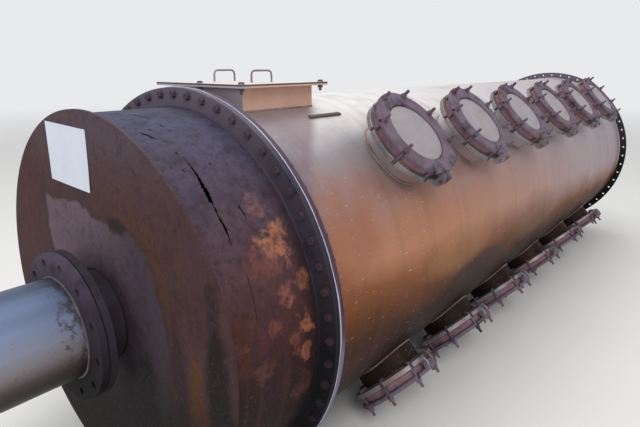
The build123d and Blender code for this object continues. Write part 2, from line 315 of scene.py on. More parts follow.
def flat_ring(bore, rim, low, high, edge, sides, steps=2):
    """A flat ring with rounded edges, or a plain washer where the bore is nothing."""
    corners = [(bore, low), (rim, low), (rim, high), (bore, high)]
    return turned(softened(corners, edge, steps), sides)


def slab(outline, low, high, edge):
    """A plate with chamfered rims: an outline carried along Z from low to high.

    Its rings are the outline moved in by the edge, the outline, the outline again and the
    outline moved in. Each cap runs to the outline's middle.
    """
    along = np.roll(outline, -1, axis=0) - np.roll(outline, 1, axis=0)
    along /= np.linalg.norm(along, axis=1, keepdims=True)
    inwards = np.stack([-along[:, 1], along[:, 0]], axis=1)
    middle = np.repeat(outline.mean(axis=0)[None], len(outline), axis=0)
    if np.sum(inwards * (middle - outline)) < 0:
        inwards = -inwards
    inner = outline + edge * inwards
    rings = [(middle, low), (inner, low), (outline, low + edge)]
    rings += [(outline, high - edge), (inner, high), (middle, high)]
    points = [np.column_stack([ring, np.full(len(ring), height)]) for ring, height in rings]
    return surface(np.stack(points), wrap_columns=True)


def bent_rod(path, radius, sides=12):
    """A round bar along a path in the XZ plane, with rounded ends.

    The section at a path point P is P + r (cos b n + sin b y), where n is the path's
    normal in its plane. The radius falls to nothing at both ends.
    """
    tangent = np.gradient(path, axis=0)
    tangent /= np.linalg.norm(tangent, axis=1, keepdims=True)
    centres, along = (np.pad(line, ((2, 2), (0, 0)), mode="edge") for line in (path, tangent))
    centres[2] += 0.3 * radius * tangent[0]
    centres[-3] -= 0.3 * radius * tangent[-1]
    radii = np.full((len(centres), 1), radius)
    radii[[1, -2]] *= 0.72
    radii[[0, -1]] = 0
    b = around(sides)[None]
    reach = radii * np.cos(b)
    x = centres[:, :1] - along[:, 1:] * reach
    z = centres[:, 1:] + along[:, :1] * reach
    return surface(np.stack([x, radii * np.sin(b), z], axis=-1), wrap_columns=True)


def rounded_path(corners, bend, steps=7):
    """An open path with its inner corners rounded as softened() rounds them."""
    corners = np.asarray(corners, float)
    curve = softened(corners, bend, steps).reshape(len(corners), steps, 2)
    return np.concatenate([corners[:1], curve[1:-1].reshape(-1, 2), corners[-1:]])


def round_bead(station, radius, width, rise, count=360):
    """A weld bead around the tank: an oval section carried round the X axis.

    Its rise is modulated by 1 + 0.12 sin(110 a) + 0.1 sin(7 a + 1) and its width by
    1 + 0.06 sin(23 a), so it ripples as a hand laid weld does.
    """
    a, b = around(count)[None], around(9)[:, None]
    ripple = 1 + 0.12 * np.sin(110 * a) + 0.1 * np.sin(7 * a + 1)
    across = station + 0.5 * width * (1 + 0.06 * np.sin(23 * a)) * np.cos(b)
    points = round_x(across, radius + rise * ripple * np.sin(b), a)
    return closed(points)


def straight_bead(start, end, radius, turn, width, rise):
    """A lengthwise weld bead: an oval section carried along X at one angle.

    Its rise is modulated by 1 + 0.15 sin(x / 4 mm).
    """
    x, b = np.linspace(start, end, 220)[None], around(9)[:, None]
    reach = radius + rise * (1 + 0.15 * np.sin(x / (4 * MM))) * np.sin(b)
    points = round_x(x, reach, turn + 0.5 * width * np.cos(b) / radius)
    return surface(capped(points), wrap_rows=True)


def saddle_bead(neck, shell, leg):
    """The weld at a neck's foot, in the manhole's own axes.

    It follows the curve where the neck meets the shell: (r cos a, r sin a, h) with
    h^2 = R^2 - (r sin a)^2. Its section is a rippled circle in the plane of the neck's
    radius and axis.
    """
    a, b = around(96)[None], around(8)[:, None]
    size = leg * (1 + 0.12 * np.sin(31 * a) + 0.08 * np.sin(5 * a))
    foot = np.sqrt(shell**2 - (neck * np.sin(a)) ** 2)
    points = round_z(neck + size * np.cos(b), foot + size * np.sin(b), a)
    return closed(points)


def notched_ring(bore, rim, low, high, floor, width, count, edge, bumps=0.0):
    """A flat ring with radial notches in its rim.

    Around the ring the outer radius is the rim, and between the two sides of each notch
    it is the notch's floor. The section at each angle is a box with its edges cut, and
    the bumps make its rim wander.
    """
    half, step = math.asin(width / 2 / rim), 2 * np.pi / count
    notch = np.array([-half, -half * 0.9, 0, half * 0.9])
    lands = np.linspace(half, step - half, 13)
    reach = np.concatenate([np.full(4, floor), np.full(13, rim)])
    reach[1:4] -= np.array([0.12, 0.2, 0.12]) * width
    centres = (np.arange(count) + 0.5) * step
    a = (centres[:, None] + np.concatenate([notch, lands])[None]).ravel()
    outer = np.tile(reach, count) + bumps * (np.sin(9 * a + 1) + np.sin(23 * a)) / 2
    share = np.array([0, 0, 0, 1, 1, 1, 1, 0])[:, None]
    inset = np.array([0, 0, 1, -1, 0, 0, -1, 1])[:, None] * edge
    heights = [high - edge, low + edge, low, low, low + edge, high - edge, high, high]
    radius = bore + share * (outer[None] - bore) + inset
    points = round_z(radius, np.array(heights)[:, None], a)
    return closed(points)


def hexagon(size, low, high):
    """A hexagon head or nut: a chamfered profile turned in six steps."""
    radius, cut = size / 2 / math.cos(math.pi / 6), 0.072 * size
    profile = [(0, low), (0.9 * radius, low), (radius, low + cut)]
    profile += [(radius, high - cut), (0.9 * radius, high), (0, high)]
    return turned(profile, 6)


def stud(radius, low, high):
    """A short round bar along Z with chamfered ends."""
    cut = 0.3 * radius
    profile = [(0, low), (radius - cut, low), (radius, low + cut)]
    profile += [(radius, high - cut), (radius - cut, high), (0, high)]
    return turned(profile, 12)


def gasket_lip(start, end, radius, lip):
    """The sheet gasket, its edge pressed out between the flanges in uneven waves.

    The outer radius is R + lip w(a) (0.6 + 0.25 sin 9a + 0.15 sin(31a + 2)), where w fades
    to nothing at the bottom and on the plain flank. The edge leans by w too.
    """
    a = around(720)[None]
    show = np.clip(0.5 + 0.9 * np.sin(a + 0.6), 0, 1)
    wave = 0.6 + 0.25 * np.sin(9 * a) + 0.15 * np.sin(31 * a + 2)
    outer = radius + lip * show * wave
    lean = 1.2 * MM * show * np.sin(13 * a + 0.5)
    bore, shoulder = radius_of("shell_course_2") - 5 * MM, radius - 4 * MM
    section = [(start, bore), (end, bore), (end, shoulder), (end - 0.3 * MM + lean, outer)]
    section += [(start + 0.3 * MM + lean, outer), (start, shoulder)]
    rows = [round_x(station, reach, a) for station, reach in section]
    return closed(np.concatenate(rows))


def torn_lips(count=260):
    """Ragged lips of thinned plate that stand into the drum's long tear from both sides.

    The tear runs down the drum with its middle m(u) and half width w(u) worked out from
    TEAR. A lip reaches from m +- (w + 2 mm) to m +- w open(u), where open is the share
    that rust has eaten, jagged every few millimetres. Its section is a thin wedge.
    """
    start, end = ends_of("drum_shell")
    radius = radius_of("drum_shell")
    turn, *sides = np.array(TEAR).T
    above = np.linspace(turn[0], turn[-1], count)
    front, back = (start + (1 - np.interp(-above, -turn, side)) * (end - start) for side in sides)
    middle, half = (front + back) / 2, np.abs(front - back) / 2
    at, share = np.array(TEAR_OPENING).T
    eaten = np.interp(-above, -at, share)
    jagged = np.random.default_rng(11)
    lips = []
    for side in (-1, 1):
        coarse = np.repeat(jagged.uniform(-1, 1, count // 5 + 1), 5)[:count]
        fine = jagged.uniform(-1, 1, count)
        reach = np.clip(eaten * (1 + 0.42 * coarse + 0.22 * fine), 0.03, 0.94)
        tip = middle + side * half * reach
        root = middle + side * (half + 2 * MM)
        wedge = ((root, 0.4), (tip, 0.9), (tip, 1.9), (root, 3.2))
        rows = [round_x(at, radius - depth * MM, np.radians(above)) for at, depth in wedge]
        lips.append(surface(capped(np.stack(rows)), wrap_rows=True))
    return together(*lips)


def hatch_weld(low, high, shell, leg):
    """The weld around the hatch's foot: a rippled round section around a rectangle.

    Each point of the rectangle drops onto the shell at z = sqrt(R^2 - y^2).
    """
    t = np.linspace(0, 4, 480, endpoint=False)
    x = np.interp(t, range(5), [low.x, high.x, high.x, low.x, low.x])
    y = np.interp(t, range(5), [low.y, low.y, high.y, high.y, low.y])
    out = np.array([(0, -1), (1, 0), (0, 1), (-1, 0)])[np.minimum(t.astype(int), 3)]
    b = around(8)[:, None]
    size = leg * (1 + 0.14 * np.sin(170 * t))
    flat = (place + size * np.cos(b) * side for place, side in zip((x, y), out.T))
    foot = np.sqrt(shell**2 - y**2) + size * np.sin(b)
    return closed(np.stack([*flat, foot], axis=-1))


# Frames


def frame_of(origin, x_axis=(1, 0, 0), z_axis=(0, 0, 1)):
    """A 4 by 4 frame from its origin, its X axis and its Z axis."""
    made = np.eye(4)
    made[:3] = np.column_stack([x_axis, np.cross(z_axis, x_axis), z_axis, origin])
    return made


def turn_z(turn):
    """A frame turned about its own Z axis."""
    return frame_of((0, 0, 0), (math.cos(turn), math.sin(turn), 0))


def manhole_frames(sizes, turn):
    """Frames of a row of manholes, with Z outwards at the row's angle above the level."""
    first = ends_of("shell_course_1")[0] + sizes.first
    out = (0, -math.cos(turn), math.sin(turn))
    stations = first + sizes.pitch * np.arange(sizes.count)
    return np.array([frame_of((x, 0, 0), z_axis=out) for x in stations])


def girdle_frames(count, radius, station, direction):
    """Frames on a circle around the tank, with Z along +X or -X."""
    turns = around(count)
    return [
        frame_of((station, radius * y, radius * z), (0, y, z), (direction, 0, 0))
        for y, z in zip(np.cos(turns), np.sin(turns))
    ]


# Objects


def mesh_of(name, shape):
    """A mesh of a surface, its doubles merged and its faces turned outwards."""
    points, quads = shape
    mesh = bpy.data.meshes.new(name)
    mesh.vertices.add(len(points))
    mesh.vertices.foreach_set("co", np.ascontiguousarray(points, np.float32).ravel())
    mesh.loops.add(quads.size)
    mesh.loops.foreach_set("vertex_index", quads.astype(np.int32).ravel())
    mesh.polygons.add(len(quads))
    mesh.polygons.foreach_set("loop_start", np.arange(0, quads.size, 4, dtype=np.int32))
    mesh.update(calc_edges=True)
    cleaner = bmesh.new()
    cleaner.from_mesh(mesh)
    bmesh.ops.remove_doubles(cleaner, verts=cleaner.verts, dist=0.01 * MM)
    bmesh.ops.recalc_face_normals(cleaner, faces=cleaner.faces)
    cleaner.to_mesh(mesh)
    cleaner.free()
    mesh.validate()
    return mesh


def piece(name, shape, finish, stands_for=(), crease=32.0):
    """Turns a surface into an object of the tank, smooth up to the crease in degrees."""
    mesh = mesh_of(name, shape)
    mesh.shade_smooth()
    mesh.set_sharp_from_angle(angle=math.radians(crease))
    mesh.materials.append(finish)
    made = bpy.data.objects.new(name, mesh)
    bpy.context.scene.collection.objects.link(made)
    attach(made, "root")
    if stands_for:
        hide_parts(*stands_for)


def dress(finish, *names):
    """Gives solids of the frame their finish."""
    for name in names:
        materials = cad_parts[name].data.materials
        materials.clear()
        materials.append(finish)


# Finishes


def opaque(shade):
    """A hex code or a colour of the panel, with full alpha. A node passes as it is."""
    if isinstance(shade, str):
        shade = linear(shade)
    return shade if isinstance(shade, bpy.types.Node) else (*shade, 1.0)


def grain(size_mm):
    """Texture scale at which one cell is as many millimetres wide."""
    return 1000.0 / size_mm


def add(tree, kind, feeds, stops=(), **settings):
    """Adds one node, with its settings, its inputs' values or links and a ramp's stops.

    A node given to an input feeds it from its first output in use. A ramp's first two
    stops are its ends.
    """
    made = tree.nodes.new("ShaderNode" + kind)
    for key, value in settings.items():
        setattr(made, key, value)
    for key, value in feeds.items():
        if isinstance(value, bpy.types.Node):
            value = next(end for end in value.outputs if end.enabled)
        if isinstance(value, bpy.types.NodeSocket):
            tree.links.new(value, made.inputs[key])
        else:
            made.inputs[key].default_value = value
    for number, (at, shade) in enumerate(stops):
        ends = made.color_ramp.elements
        stop = ends[number] if number < 2 else ends.new(at)
        stop.position, stop.color = at, opaque(shade)
    return made


def new_finish(name):
    """A material without nodes yet, its tree and the object's own coordinates."""
    made = bpy.data.materials.new(name)
    made.use_nodes = True
    made.node_tree.nodes.clear()
    return made, made.node_tree, add(made.node_tree, "TexCoord", {}).outputs["Object"]


def shaded(made, coat, metallic, roughness, shine=0.5, relief=()):
    """The material with its shader. The relief is a bump's height, strength and distance.

    The shine is the specular level, lower than 0.5 for porous rust and dirt.
    """
    tree = made.node_tree
    feeds = {"Base Color": coat, "Metallic": metallic, "Roughness": roughness}
    feeds["Specular IOR Level"] = shine
    if relief:
        bump = dict(zip(("Height", "Strength", "Distance"), relief))
        feeds["Normal"] = add(tree, "Bump", bump)
    shader = add(tree, "BsdfPrincipled", feeds)
    add(tree, "OutputMaterial", {"Surface": shader})
    return made


def laid(tree, coat, shade, value, low, high, amount=1.0, *gates, ease="LINEAR"):
    """The coat with a shade laid over it as a value passes from low to high.

    There the shade has the amount's strength, times each gate that lets it through.
    """
    span = {"Value": value, "From Min": low, "From Max": high, "To Max": amount}
    mask = add(tree, "MapRange", span, interpolation_type=ease)
    for gate in gates:
        mask = add(tree, "Math", {0: mask, 1: gate}, operation="MULTIPLY")
    return add(tree, "Mix", {0: mask, 6: coat, 7: opaque(shade)}, data_type="RGBA")


def mottled(
    tree, place, coat, shade, size, low, high, amount, *gates,
    detail=7.0, rough=0.68, shift=0.0, turn=0.0,
):
    """The coat with a shade laid over it in blotches, where a noise is from low to high.

    The size of the noise's cells is in millimetres. Three sizes draw them out along X, Y
    and Z, after which the shift, in cells, and the turn place them.
    """
    if isinstance(size, tuple):
        cells = {"Vector": place, "Location": (shift, shift, shift)}
        cells |= {"Rotation": (0.0, turn, turn), "Scale": [grain(side) for side in size]}
        place, size = add(tree, "Mapping", cells), 1000.0
    cells = {"Vector": place, "Scale": grain(size), "Detail": detail, "Roughness": rough}
    noise = add(tree, "TexNoise", cells)
    return laid(tree, coat, shade, noise, low, high, amount, *gates)


def blot(tree, place, coat, shade, fray, middle, halves, amount):
    """The coat with a soft, frayed stain that fills an ellipsoid around a place."""
    ball = {"Vector": place, "Scale": [1.0 / half for half in halves]}
    ball["Location"] = [-at / half for at, half in zip(middle, halves)]
    spot = add(tree, "Mapping", ball)
    off = add(tree, "VectorMath", {0: spot}, operation="LENGTH")
    off = add(tree, "Math", {0: fray, 1: 1.4, 2: off}, operation="MULTIPLY_ADD")
    return laid(tree, coat, shade, off, 1.75, 1.15, amount, ease="SMOOTHSTEP")


def rolled_stainless(name, colours):
    """Hot rolled stainless plate, cold rolled to a curve and left outdoors for years.

    The top stays pale: clean plate, with painted light of the sun and sky. Rust-coloured
    run-off and dust stain it browner towards the floor, where painted shade and a painted
    reflection of the ground darken and brown it too.
    It keeps a dull sheen, and a few small scratches show bright on the stained flank.
    """
    made, tree, place = new_finish(name)
    axes = add(tree, "SeparateXYZ", {0: place}).outputs
    clouds = add(tree, "TexNoise", {"Vector": place, "Scale": grain(420), "Detail": 6.0, "Roughness": 0.55})
    # The film follows the height, from the underside (0) to the top (1). Its stain reaches
    # 45 mm less high for each metre away from the drum. The ramp is partly stains and partly
    # painted light: its pale top is painted sunlight and sky, its dark brown foot painted shade
    # and the ground's reflection.
    start, fall = ends_of("shell_course_1")[0], 0.045
    drop = fall * (start + 0.5)
    lift = add(tree, "Math", {0: clouds, 1: 0.20, 2: axes["Z"]}, operation="MULTIPLY_ADD")
    lift = add(tree, "Math", {0: axes["X"], 1: fall, 2: lift}, operation="MULTIPLY_ADD")
    level = add(tree, "MapRange", {"Value": lift, "From Min": drop - 0.62, "From Max": drop + 0.82})
    stops = (
        (0.20, colours.plate_under), (0.97, colours.plate_top), (0.37, "#2c150c"),
        (0.46, colours.plate_low), (0.54, "#84502f"), (0.62, colours.plate_middle),
        (0.70, "#a97860"), (0.78, colours.plate_upper), (0.86, "#948c90"),
    )
    film = add(tree, "ValToRGB", {"Fac": level}, stops)
    # Away from the drum the flank turns greyer, over the last three courses.
    clean = add(tree, "MapRange", {"Value": level, "From Min": 0.48, "From Max": 0.62})
    film = laid(tree, film, colours.plate_far, axes["X"], start + 0.9, start + 3.4, 0.9, clean)
    # Beside the drum it is greyer too, a painted shadow of the hatch and the drum's flange,
    # up to 4 (z - 0.36)^2 + 0.06 m from the joint.
    rise = add(tree, "Math", {0: axes["Z"], 1: 0.36}, operation="SUBTRACT")
    rise = add(tree, "Math", {0: rise, 1: 0.0}, operation="MAXIMUM")
    rise = add(tree, "Math", {0: rise, 1: rise}, operation="MULTIPLY")
    edge = add(tree, "Math", {0: rise, 1: 4.0, 2: start + 0.06}, operation="MULTIPLY_ADD")
    inside = add(tree, "Math", {0: edge, 1: axes["X"]}, operation="SUBTRACT")
    film = laid(tree, film, colours.plate_near, inside, -0.06, 0.02, 0.8, clean, ease="SMOOTHSTEP")
    # Single stains on the manhole side: redder, ochre and grey ones, with a soot-dark patch
    # that is painted shade.
    for middle, halves, amount, shade in (
        ((-4.35, -0.68, 0.25), (0.24, 0.30, 0.18), 0.35, "#86493a"),
        ((-3.55, -0.72, 0.02), (0.45, 0.30, 0.13), 0.28, "#b78e66"),
        ((-3.22, -0.71, -0.15), (0.42, 0.30, 0.09), 0.7, "#302524"),
        ((-2.35, -0.71, -0.09), (0.50, 0.30, 0.11), 0.2, "#957f74"),
        ((-4.30, -0.69, -0.20), (0.35, 0.30, 0.08), 0.25, "#5a2a14"),
    ):
        film = blot(tree, place, film, shade, clouds, middle, halves, amount)
    # Faint run-off, 45 mm wide across X and over a metre long down the plate.
    runs, fine = (45, 1200, 1200), {"detail": 3.0, "rough": 0.5}
    film = mottled(tree, place, film, "#6b4a3c", runs, 0.50, 0.85, 0.22, **fine)
    # Bluish water marks, about 150 mm across, on the upper flank.
    upper = add(tree, "MapRange", {"Value": level, "From Min": 0.66, "From Max": 0.82})
    mark, soft = colours.plate_mark, {"detail": 5.0, "rough": 0.6}
    film = mottled(tree, place, film, mark, 150, 0.52, 0.74, 0.5, upper, **soft)
    # Scratches: bright flecks 4 mm wide and 34 mm long, drawn wide enough to show.
    for turn, shift in ((0.16, 0.0), (-0.28, 7.3)):
        drawn = {"detail": 0.0, "rough": 0.5, "shift": shift, "turn": turn}
        film = mottled(tree, place, film, "#e2cdbd", (34, 4, 4), 0.79, 0.87, 0.4, **drawn)
    # Dried dirt makes the stained parts duller than the clean top.
    gloss = add(tree, "MapRange", {"Value": level, "From Min": 0.4, "To Min": 0.62, "To Max": 0.38})
    # Rolled plate is never quite even: shallow waves 350 mm apart catch the light.
    waves = add(tree, "TexNoise", {"Vector": place, "Scale": grain(350), "Detail": 2.0})
    return shaded(made, film, 0.3, gloss, 0.2, (waves, 0.4, 0.02))


def scaled_steel(name, cool, brown, dark, flake_mm, fresh, *bands):
    """Carbon steel under years of rust: cool mill scale, brown rust and dark pits.

    It is matt, with flakes that stand about half a millimetre proud. Each band fades in a
    colour from one height to another, such as painted shade towards the floor and painted
    light towards the top.
    """
    made, tree, place = new_finish(name)
    patches = add(tree, "TexNoise", {"Vector": place, "Scale": grain(120), "Detail": 7.0, "Roughness": 0.6})
    stops = ((0.30, dark), (0.70, brown), (0.46, cool))
    mixed = add(tree, "ValToRGB", {"Fac": patches}, stops)
    cells = {"Vector": place, "Scale": grain(flake_mm), "Detail": 4.0, "Roughness": 0.65}
    flakes = add(tree, "TexNoise", cells)
    mixed = laid(tree, mixed, "#85604f", flakes, 0.60, 0.74, fresh)
    height = add(tree, "SeparateXYZ", {0: place}).outputs["Z"]
    for begins, ends, amount, shade in bands:
        mixed = laid(tree, mixed, shade, height, begins, ends, amount)
    return shaded(made, mixed, 0.1, 0.8, 0.15, (flakes, 0.5, 1.2 * MM))


def drum_steel(name, colours, patches, cracks):
    """The drum's rolled carbon steel: smooth blue-grey scale above, red-brown rust below.

    It flakes off in dull orange patches beside the joint. Reddish water streaks run down
    from the middle, and the underside is nearly black, partly with rust and partly with
    painted shade.
    """
    made, tree, place = new_finish(name)
    axes = add(tree, "SeparateXYZ", {0: place}).outputs
    clouds = add(tree, "TexNoise", {"Vector": place, "Scale": grain(260), "Detail": 7.0, "Roughness": 0.6})
    lift = add(tree, "Math", {0: clouds, 1: 0.30, 2: axes["Z"]}, operation="MULTIPLY_ADD")
    level = add(tree, "MapRange", {"Value": lift, "From Min": -0.30, "From Max": 0.90})
    # The ramp's dark foot is partly rust and partly painted shade.
    stops = (
        (0.12, colours.rust_dark), (0.96, colours.scale_blue), (0.34, "#30191a"),
        (0.45, "#47282a"), (0.56, "#523637"), (0.68, "#513f48"), (0.80, colours.rust_cool),
    )
    coat = add(tree, "ValToRGB", {"Fac": level}, stops)
    # Broad mottling: darker scale in clouds about 90 mm across.
    coat = mottled(tree, place, coat, "#2b2129", 90, 0.48, 0.72, 0.55, rough=0.62)
    # Below the middle, streaks 34 mm wide run down in red and ochre.
    low = add(tree, "MapRange", {"Value": axes["Z"], "From Min": 0.30, "From Max": -0.25})
    runs, fine = (34, 600, 600), {"detail": 4.0, "rough": 0.6}
    coat = mottled(tree, place, coat, "#5f3a30", runs, 0.50, 0.72, 0.5, low, **fine)
    # Painted shade: the wall is nearly black beside the joint, in the flange's shadow, and low
    # down beside the flat end.
    start, end = ends_of("drum_shell")
    for near, far, top, bottom, amount in (
        (end - 0.02, end - 0.10, 0.62, 0.30, 0.8),
        (start + 0.03, start + 0.16, 0.02, -0.30, 0.85),
    ):
        depth = {"Value": axes["Z"], "From Min": top, "From Max": bottom}
        gate, soft = add(tree, "MapRange", depth), {"ease": "SMOOTHSTEP"}
        coat = laid(tree, coat, "#1d191c", axes["X"], far, near, amount, gate, **soft)
    # Each orange patch is a ball around its middle, frayed by a 46 mm noise. Its heart
    # has flaked off down to the dark red rust beneath.
    ragged = add(tree, "TexNoise", {"Vector": place, "Scale": grain(46), "Detail": 7.0, "Roughness": 0.68})
    for middle, reach, strength, shade in patches:
        away = add(tree, "VectorMath", {0: place, 1: middle}, operation="DISTANCE")
        near = {"Value": away, "From Min": reach, "From Max": 0.0, "To Max": 0.42}
        near = add(tree, "MapRange", near)
        frayed = add(tree, "Math", {0: near, 1: ragged})
        coat = laid(tree, coat, shade, frayed, 0.68, 0.80, strength)
        coat = laid(tree, coat, "#5f3b38", frayed, 0.86, 0.94, 0.7)
    coat = mottled(tree, place, coat, "#241a1d", 30, 0.47, 0.66, 0.5)
    coat = mottled(tree, place, coat, "#3c2525", 12, 0.50, 0.66, 0.4)
    # Small flakes, 11 mm across, lie paler on the rusted half.
    flakes = add(tree, "TexNoise", {"Vector": place, "Scale": grain(11), "Detail": 5.0, "Roughness": 0.7})
    coat = laid(tree, coat, "#7d5a4a", flakes, 0.57, 0.72, 0.6, low)
    # Rust is blackest right around the torn places.
    for middle, reach in cracks:
        away = add(tree, "VectorMath", {0: place, 1: middle}, operation="DISTANCE")
        coat = laid(tree, coat, "#2c2226", away, reach, 0.3 * reach, 0.35)
    return shaded(made, coat, 0.1, 0.72, 0.15, (flakes, 0.45, 1.8 * MM))


def end_plate_steel(name, colours):
    """The flat end: brown rust outside, and a cool purple-grey zone about the nozzle.

    The zone's blurred edge has a thin olive rim, with ochre water marks beside it on the
    manhole side. The left is redder, and the plate darkens towards the floor, partly as dark
    rust and partly as painted shade. Painted shade also darkens the zone on the manhole side
    and the plate under the nozzle.
    """
    made, tree, place = new_finish(name)
    axes = add(tree, "SeparateXYZ", {0: place}).outputs
    y, z, soft = axes["Y"], axes["Z"], {"ease": "SMOOTHSTEP"}
    clouds = add(tree, "TexNoise", {"Vector": place, "Scale": grain(300), "Detail": 7.0, "Roughness": 0.58})
    stops = ((0.32, "#402c2f"), (0.66, "#4b3431"), (0.50, "#473236"))
    brown = add(tree, "ValToRGB", {"Fac": clouds}, stops)
    # High up the plate is a little mauve, and far from the manholes a little red.
    brown = laid(tree, brown, "#564a54", z, 0.42, 0.72, 0.75, **soft)
    brown = laid(tree, brown, "#4b2e30", y, 0.30, 0.48, 0.7, **soft)
    # The mill's brush marks: faint upright lines 34 mm apart.
    runs, fine = (1000, 34, 700), {"detail": 3.0, "rough": 0.55}
    brown = mottled(tree, place, brown, "#563c34", runs, 0.45, 0.75, 0.28, **fine)
    # The zone's outline: its reach from the nozzle's axis, in metres, for each turn about
    # it. The turn runs from half a turn left of the top (0) to half a turn right (1).
    across = add(tree, "VectorMath", {0: place, 1: (0.0, 1.0, 1.0)}, operation="MULTIPLY")
    away = add(tree, "VectorMath", {0: across}, operation="LENGTH")
    side = add(tree, "Math", {0: y, 1: -1.0}, operation="MULTIPLY")
    turn = add(tree, "Math", {0: side, 1: z}, operation="ARCTAN2")
    whole = {"Value": turn, "From Min": -math.pi, "From Max": math.pi}
    share = add(tree, "MapRange", whole)
    outline = (
        (0.0, 0.40), (1.0, 0.40), (0.26, 0.35), (0.32, 0.378), (0.385, 0.502),
        (0.42, 0.448), (0.464, 0.396), (0.512, 0.365), (0.55, 0.362), (0.575, 0.376),
        (0.605, 0.43), (0.635, 0.44), (0.67, 0.41), (0.72, 0.395), (0.79, 0.40),
        (0.86, 0.46),
    )
    stops = [(at, (reach, reach, reach)) for at, reach in outline]
    reach = add(tree, "ValToRGB", {"Fac": share}, stops)
    fray = add(tree, "TexNoise", {"Vector": place, "Scale": grain(85), "Detail": 6.0, "Roughness": 0.62})
    past = add(tree, "Math", {0: away, 1: reach}, operation="SUBTRACT")
    past = add(tree, "Math", {0: fray, 1: 0.11, 2: past}, operation="MULTIPLY_ADD")
    # Ochre and olive water marks, in a band about 0.2 m wide on the manhole side.
    right = {"Value": y, "From Min": 0.02, "From Max": -0.16}
    right = add(tree, "MapRange", right, interpolation_type="SMOOTHSTEP")
    above = add(tree, "MapRange", {"Value": z, "From Min": 0.06, "From Max": 0.20})
    ochre = colours.rust_ochre
    brown = laid(tree, brown, ochre, past, 0.20, 0.07, 0.75, right, above, **soft)
    coat = laid(tree, brown, "#3d302a", past, 0.085, 0.062, 0.8)
    cool = add(tree, "Mix", {0: clouds, 6: opaque("#60505f"), 7: opaque("#705a63")}, data_type="RGBA")
    # Painted shade: the zone darkens towards the manhole side.
    cool = laid(tree, cool, "#40353f", y, 0.02, -0.27, 0.9)
    coat = laid(tree, coat, cool, past, 0.062, 0.046)
    # A dark scab on the zone's upper edge, dark runs between the zone and the rim with an
    # ochre one among them, and a painted shadow under the nozzle.
    for (y_at, z_at), (wide, tall), amount, shade in (
        ((-0.165, 0.362), (0.06, 0.032), 0.85, "#241b1f"),
        ((-0.20, -0.27), (0.17, 0.24), 0.85, "#131113"),
        ((-0.45, -0.10), (0.045, 0.28), 0.6, "#2b1f21"),
        ((-0.645, -0.06), (0.066, 0.36), 0.9, "#191214"),
        ((-0.54, -0.20), (0.044, 0.36), 0.9, "#633b1e"),
        ((-0.50, 0.30), (0.03, 0.09), 0.5, "#4c3626"),
    ):
        spot, halves = (0.0, y_at, z_at), (1.0, wide, tall)
        coat = blot(tree, across, coat, shade, fray, spot, halves, amount)
    # Close to the floor the whole plate is dark, partly with rust and partly with painted
    # shade.
    coat = laid(tree, coat, "#110e10", z, 0.16, -0.40, 0.94, **soft)
    flakes = add(tree, "TexNoise", {"Vector": place, "Scale": grain(9), "Detail": 5.0, "Roughness": 0.7})
    coat = laid(tree, coat, "#6b5148", flakes, 0.60, 0.72, 0.22)
    coat = mottled(tree, place, coat, "#2a1e20", 30, 0.48, 0.68, 0.45)
    coat = mottled(tree, place, coat, "#6d544c", 13, 0.56, 0.72, 0.35)
    return shaded(made, coat, 0.1, 0.72, 0.15, (flakes, 0.35, MM))


def stained_stainless(name, base, dirty, stain, stain_amount, roughness, metallic=0.6):
    """Stainless fittings with a dull pickled surface, darker dirt and a second stain."""
    made, tree, place = new_finish(name)
    clouds = add(tree, "TexNoise", {"Vector": place, "Scale": grain(110), "Detail": 6.0, "Roughness": 0.6})
    coat = laid(tree, opaque(base), dirty, clouds, 0.38, 0.66, 0.8)
    soft = {"detail": 5.0, "rough": 0.55}
    coat = mottled(tree, place, coat, stain, 70, 0.50, 0.66, stain_amount, **soft)
    gloss = add(tree, "MapRange", {"Value": clouds, "To Min": roughness - 0.1, "To Max": roughness + 0.18})
    fine = add(tree, "TexNoise", {"Vector": place, "Scale": grain(5), "Detail": 3.0})
    return shaded(made, coat, metallic, gloss, relief=(fine, 0.2, 0.5 * MM))


def plain_sheet(name, shade, roughness, grain_mm):
    """A plain, even material such as plastic film or pressed gasket sheet."""
    made, tree, place = new_finish(name)
    clouds = add(tree, "TexNoise", {"Vector": place, "Scale": grain(grain_mm), "Detail": 5.0})
    worn = [0.78 * part for part in shade]
    tones = {0: clouds, 6: opaque(shade), 7: opaque(worn)}
    return shaded(made, add(tree, "Mix", tones, data_type="RGBA"), 0.0, roughness)


def hatch_plate(name, colours):
    """The hatch's plate: tan with rust run-off on the manhole side, greyer at its end with painted shade.
    """
    made, tree, place = new_finish(name)
    axes = add(tree, "SeparateXYZ", {0: place}).outputs
    clouds = add(tree, "TexNoise", {"Vector": place, "Scale": grain(110), "Detail": 7.0, "Roughness": 0.62})
    coat, pale = (
        add(tree, "Mix", {0: clouds, 6: opaque(one), 7: opaque(other)}, data_type="RGBA")
        for one, other in ((colours.hatch_tan, "#c29479"), ("#dad7d4", "#bcb2b0"))
    )
    # The end face, the lid's edge and its top each have a tone of their own, all painted light
    # and shade: a grey end, a dark edge in shade and a pale, lit top.
    end = ends_of("hatch_walls")[0]
    under, top = (corner.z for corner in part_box("hatch_lid"))
    for axis, test, limit, shade in (
        ("X", "LESS_THAN", end + MM, "#b8b0b7"),
        ("Z", "GREATER_THAN", under + 0.5 * MM, "#544c56"),
        ("Z", "GREATER_THAN", top - 0.5 * MM, pale),
    ):
        past = add(tree, "Math", {0: axes[axis], 1: limit}, operation=test)
        coat = add(tree, "Mix", {0: past, 6: coat, 7: opaque(shade)}, data_type="RGBA")
    fine = add(tree, "TexNoise", {"Vector": place, "Scale": grain(7), "Detail": 4.0})
    return shaded(made, coat, 0.3, 0.5, 0.3, (fine, 0.3, 0.6 * MM))


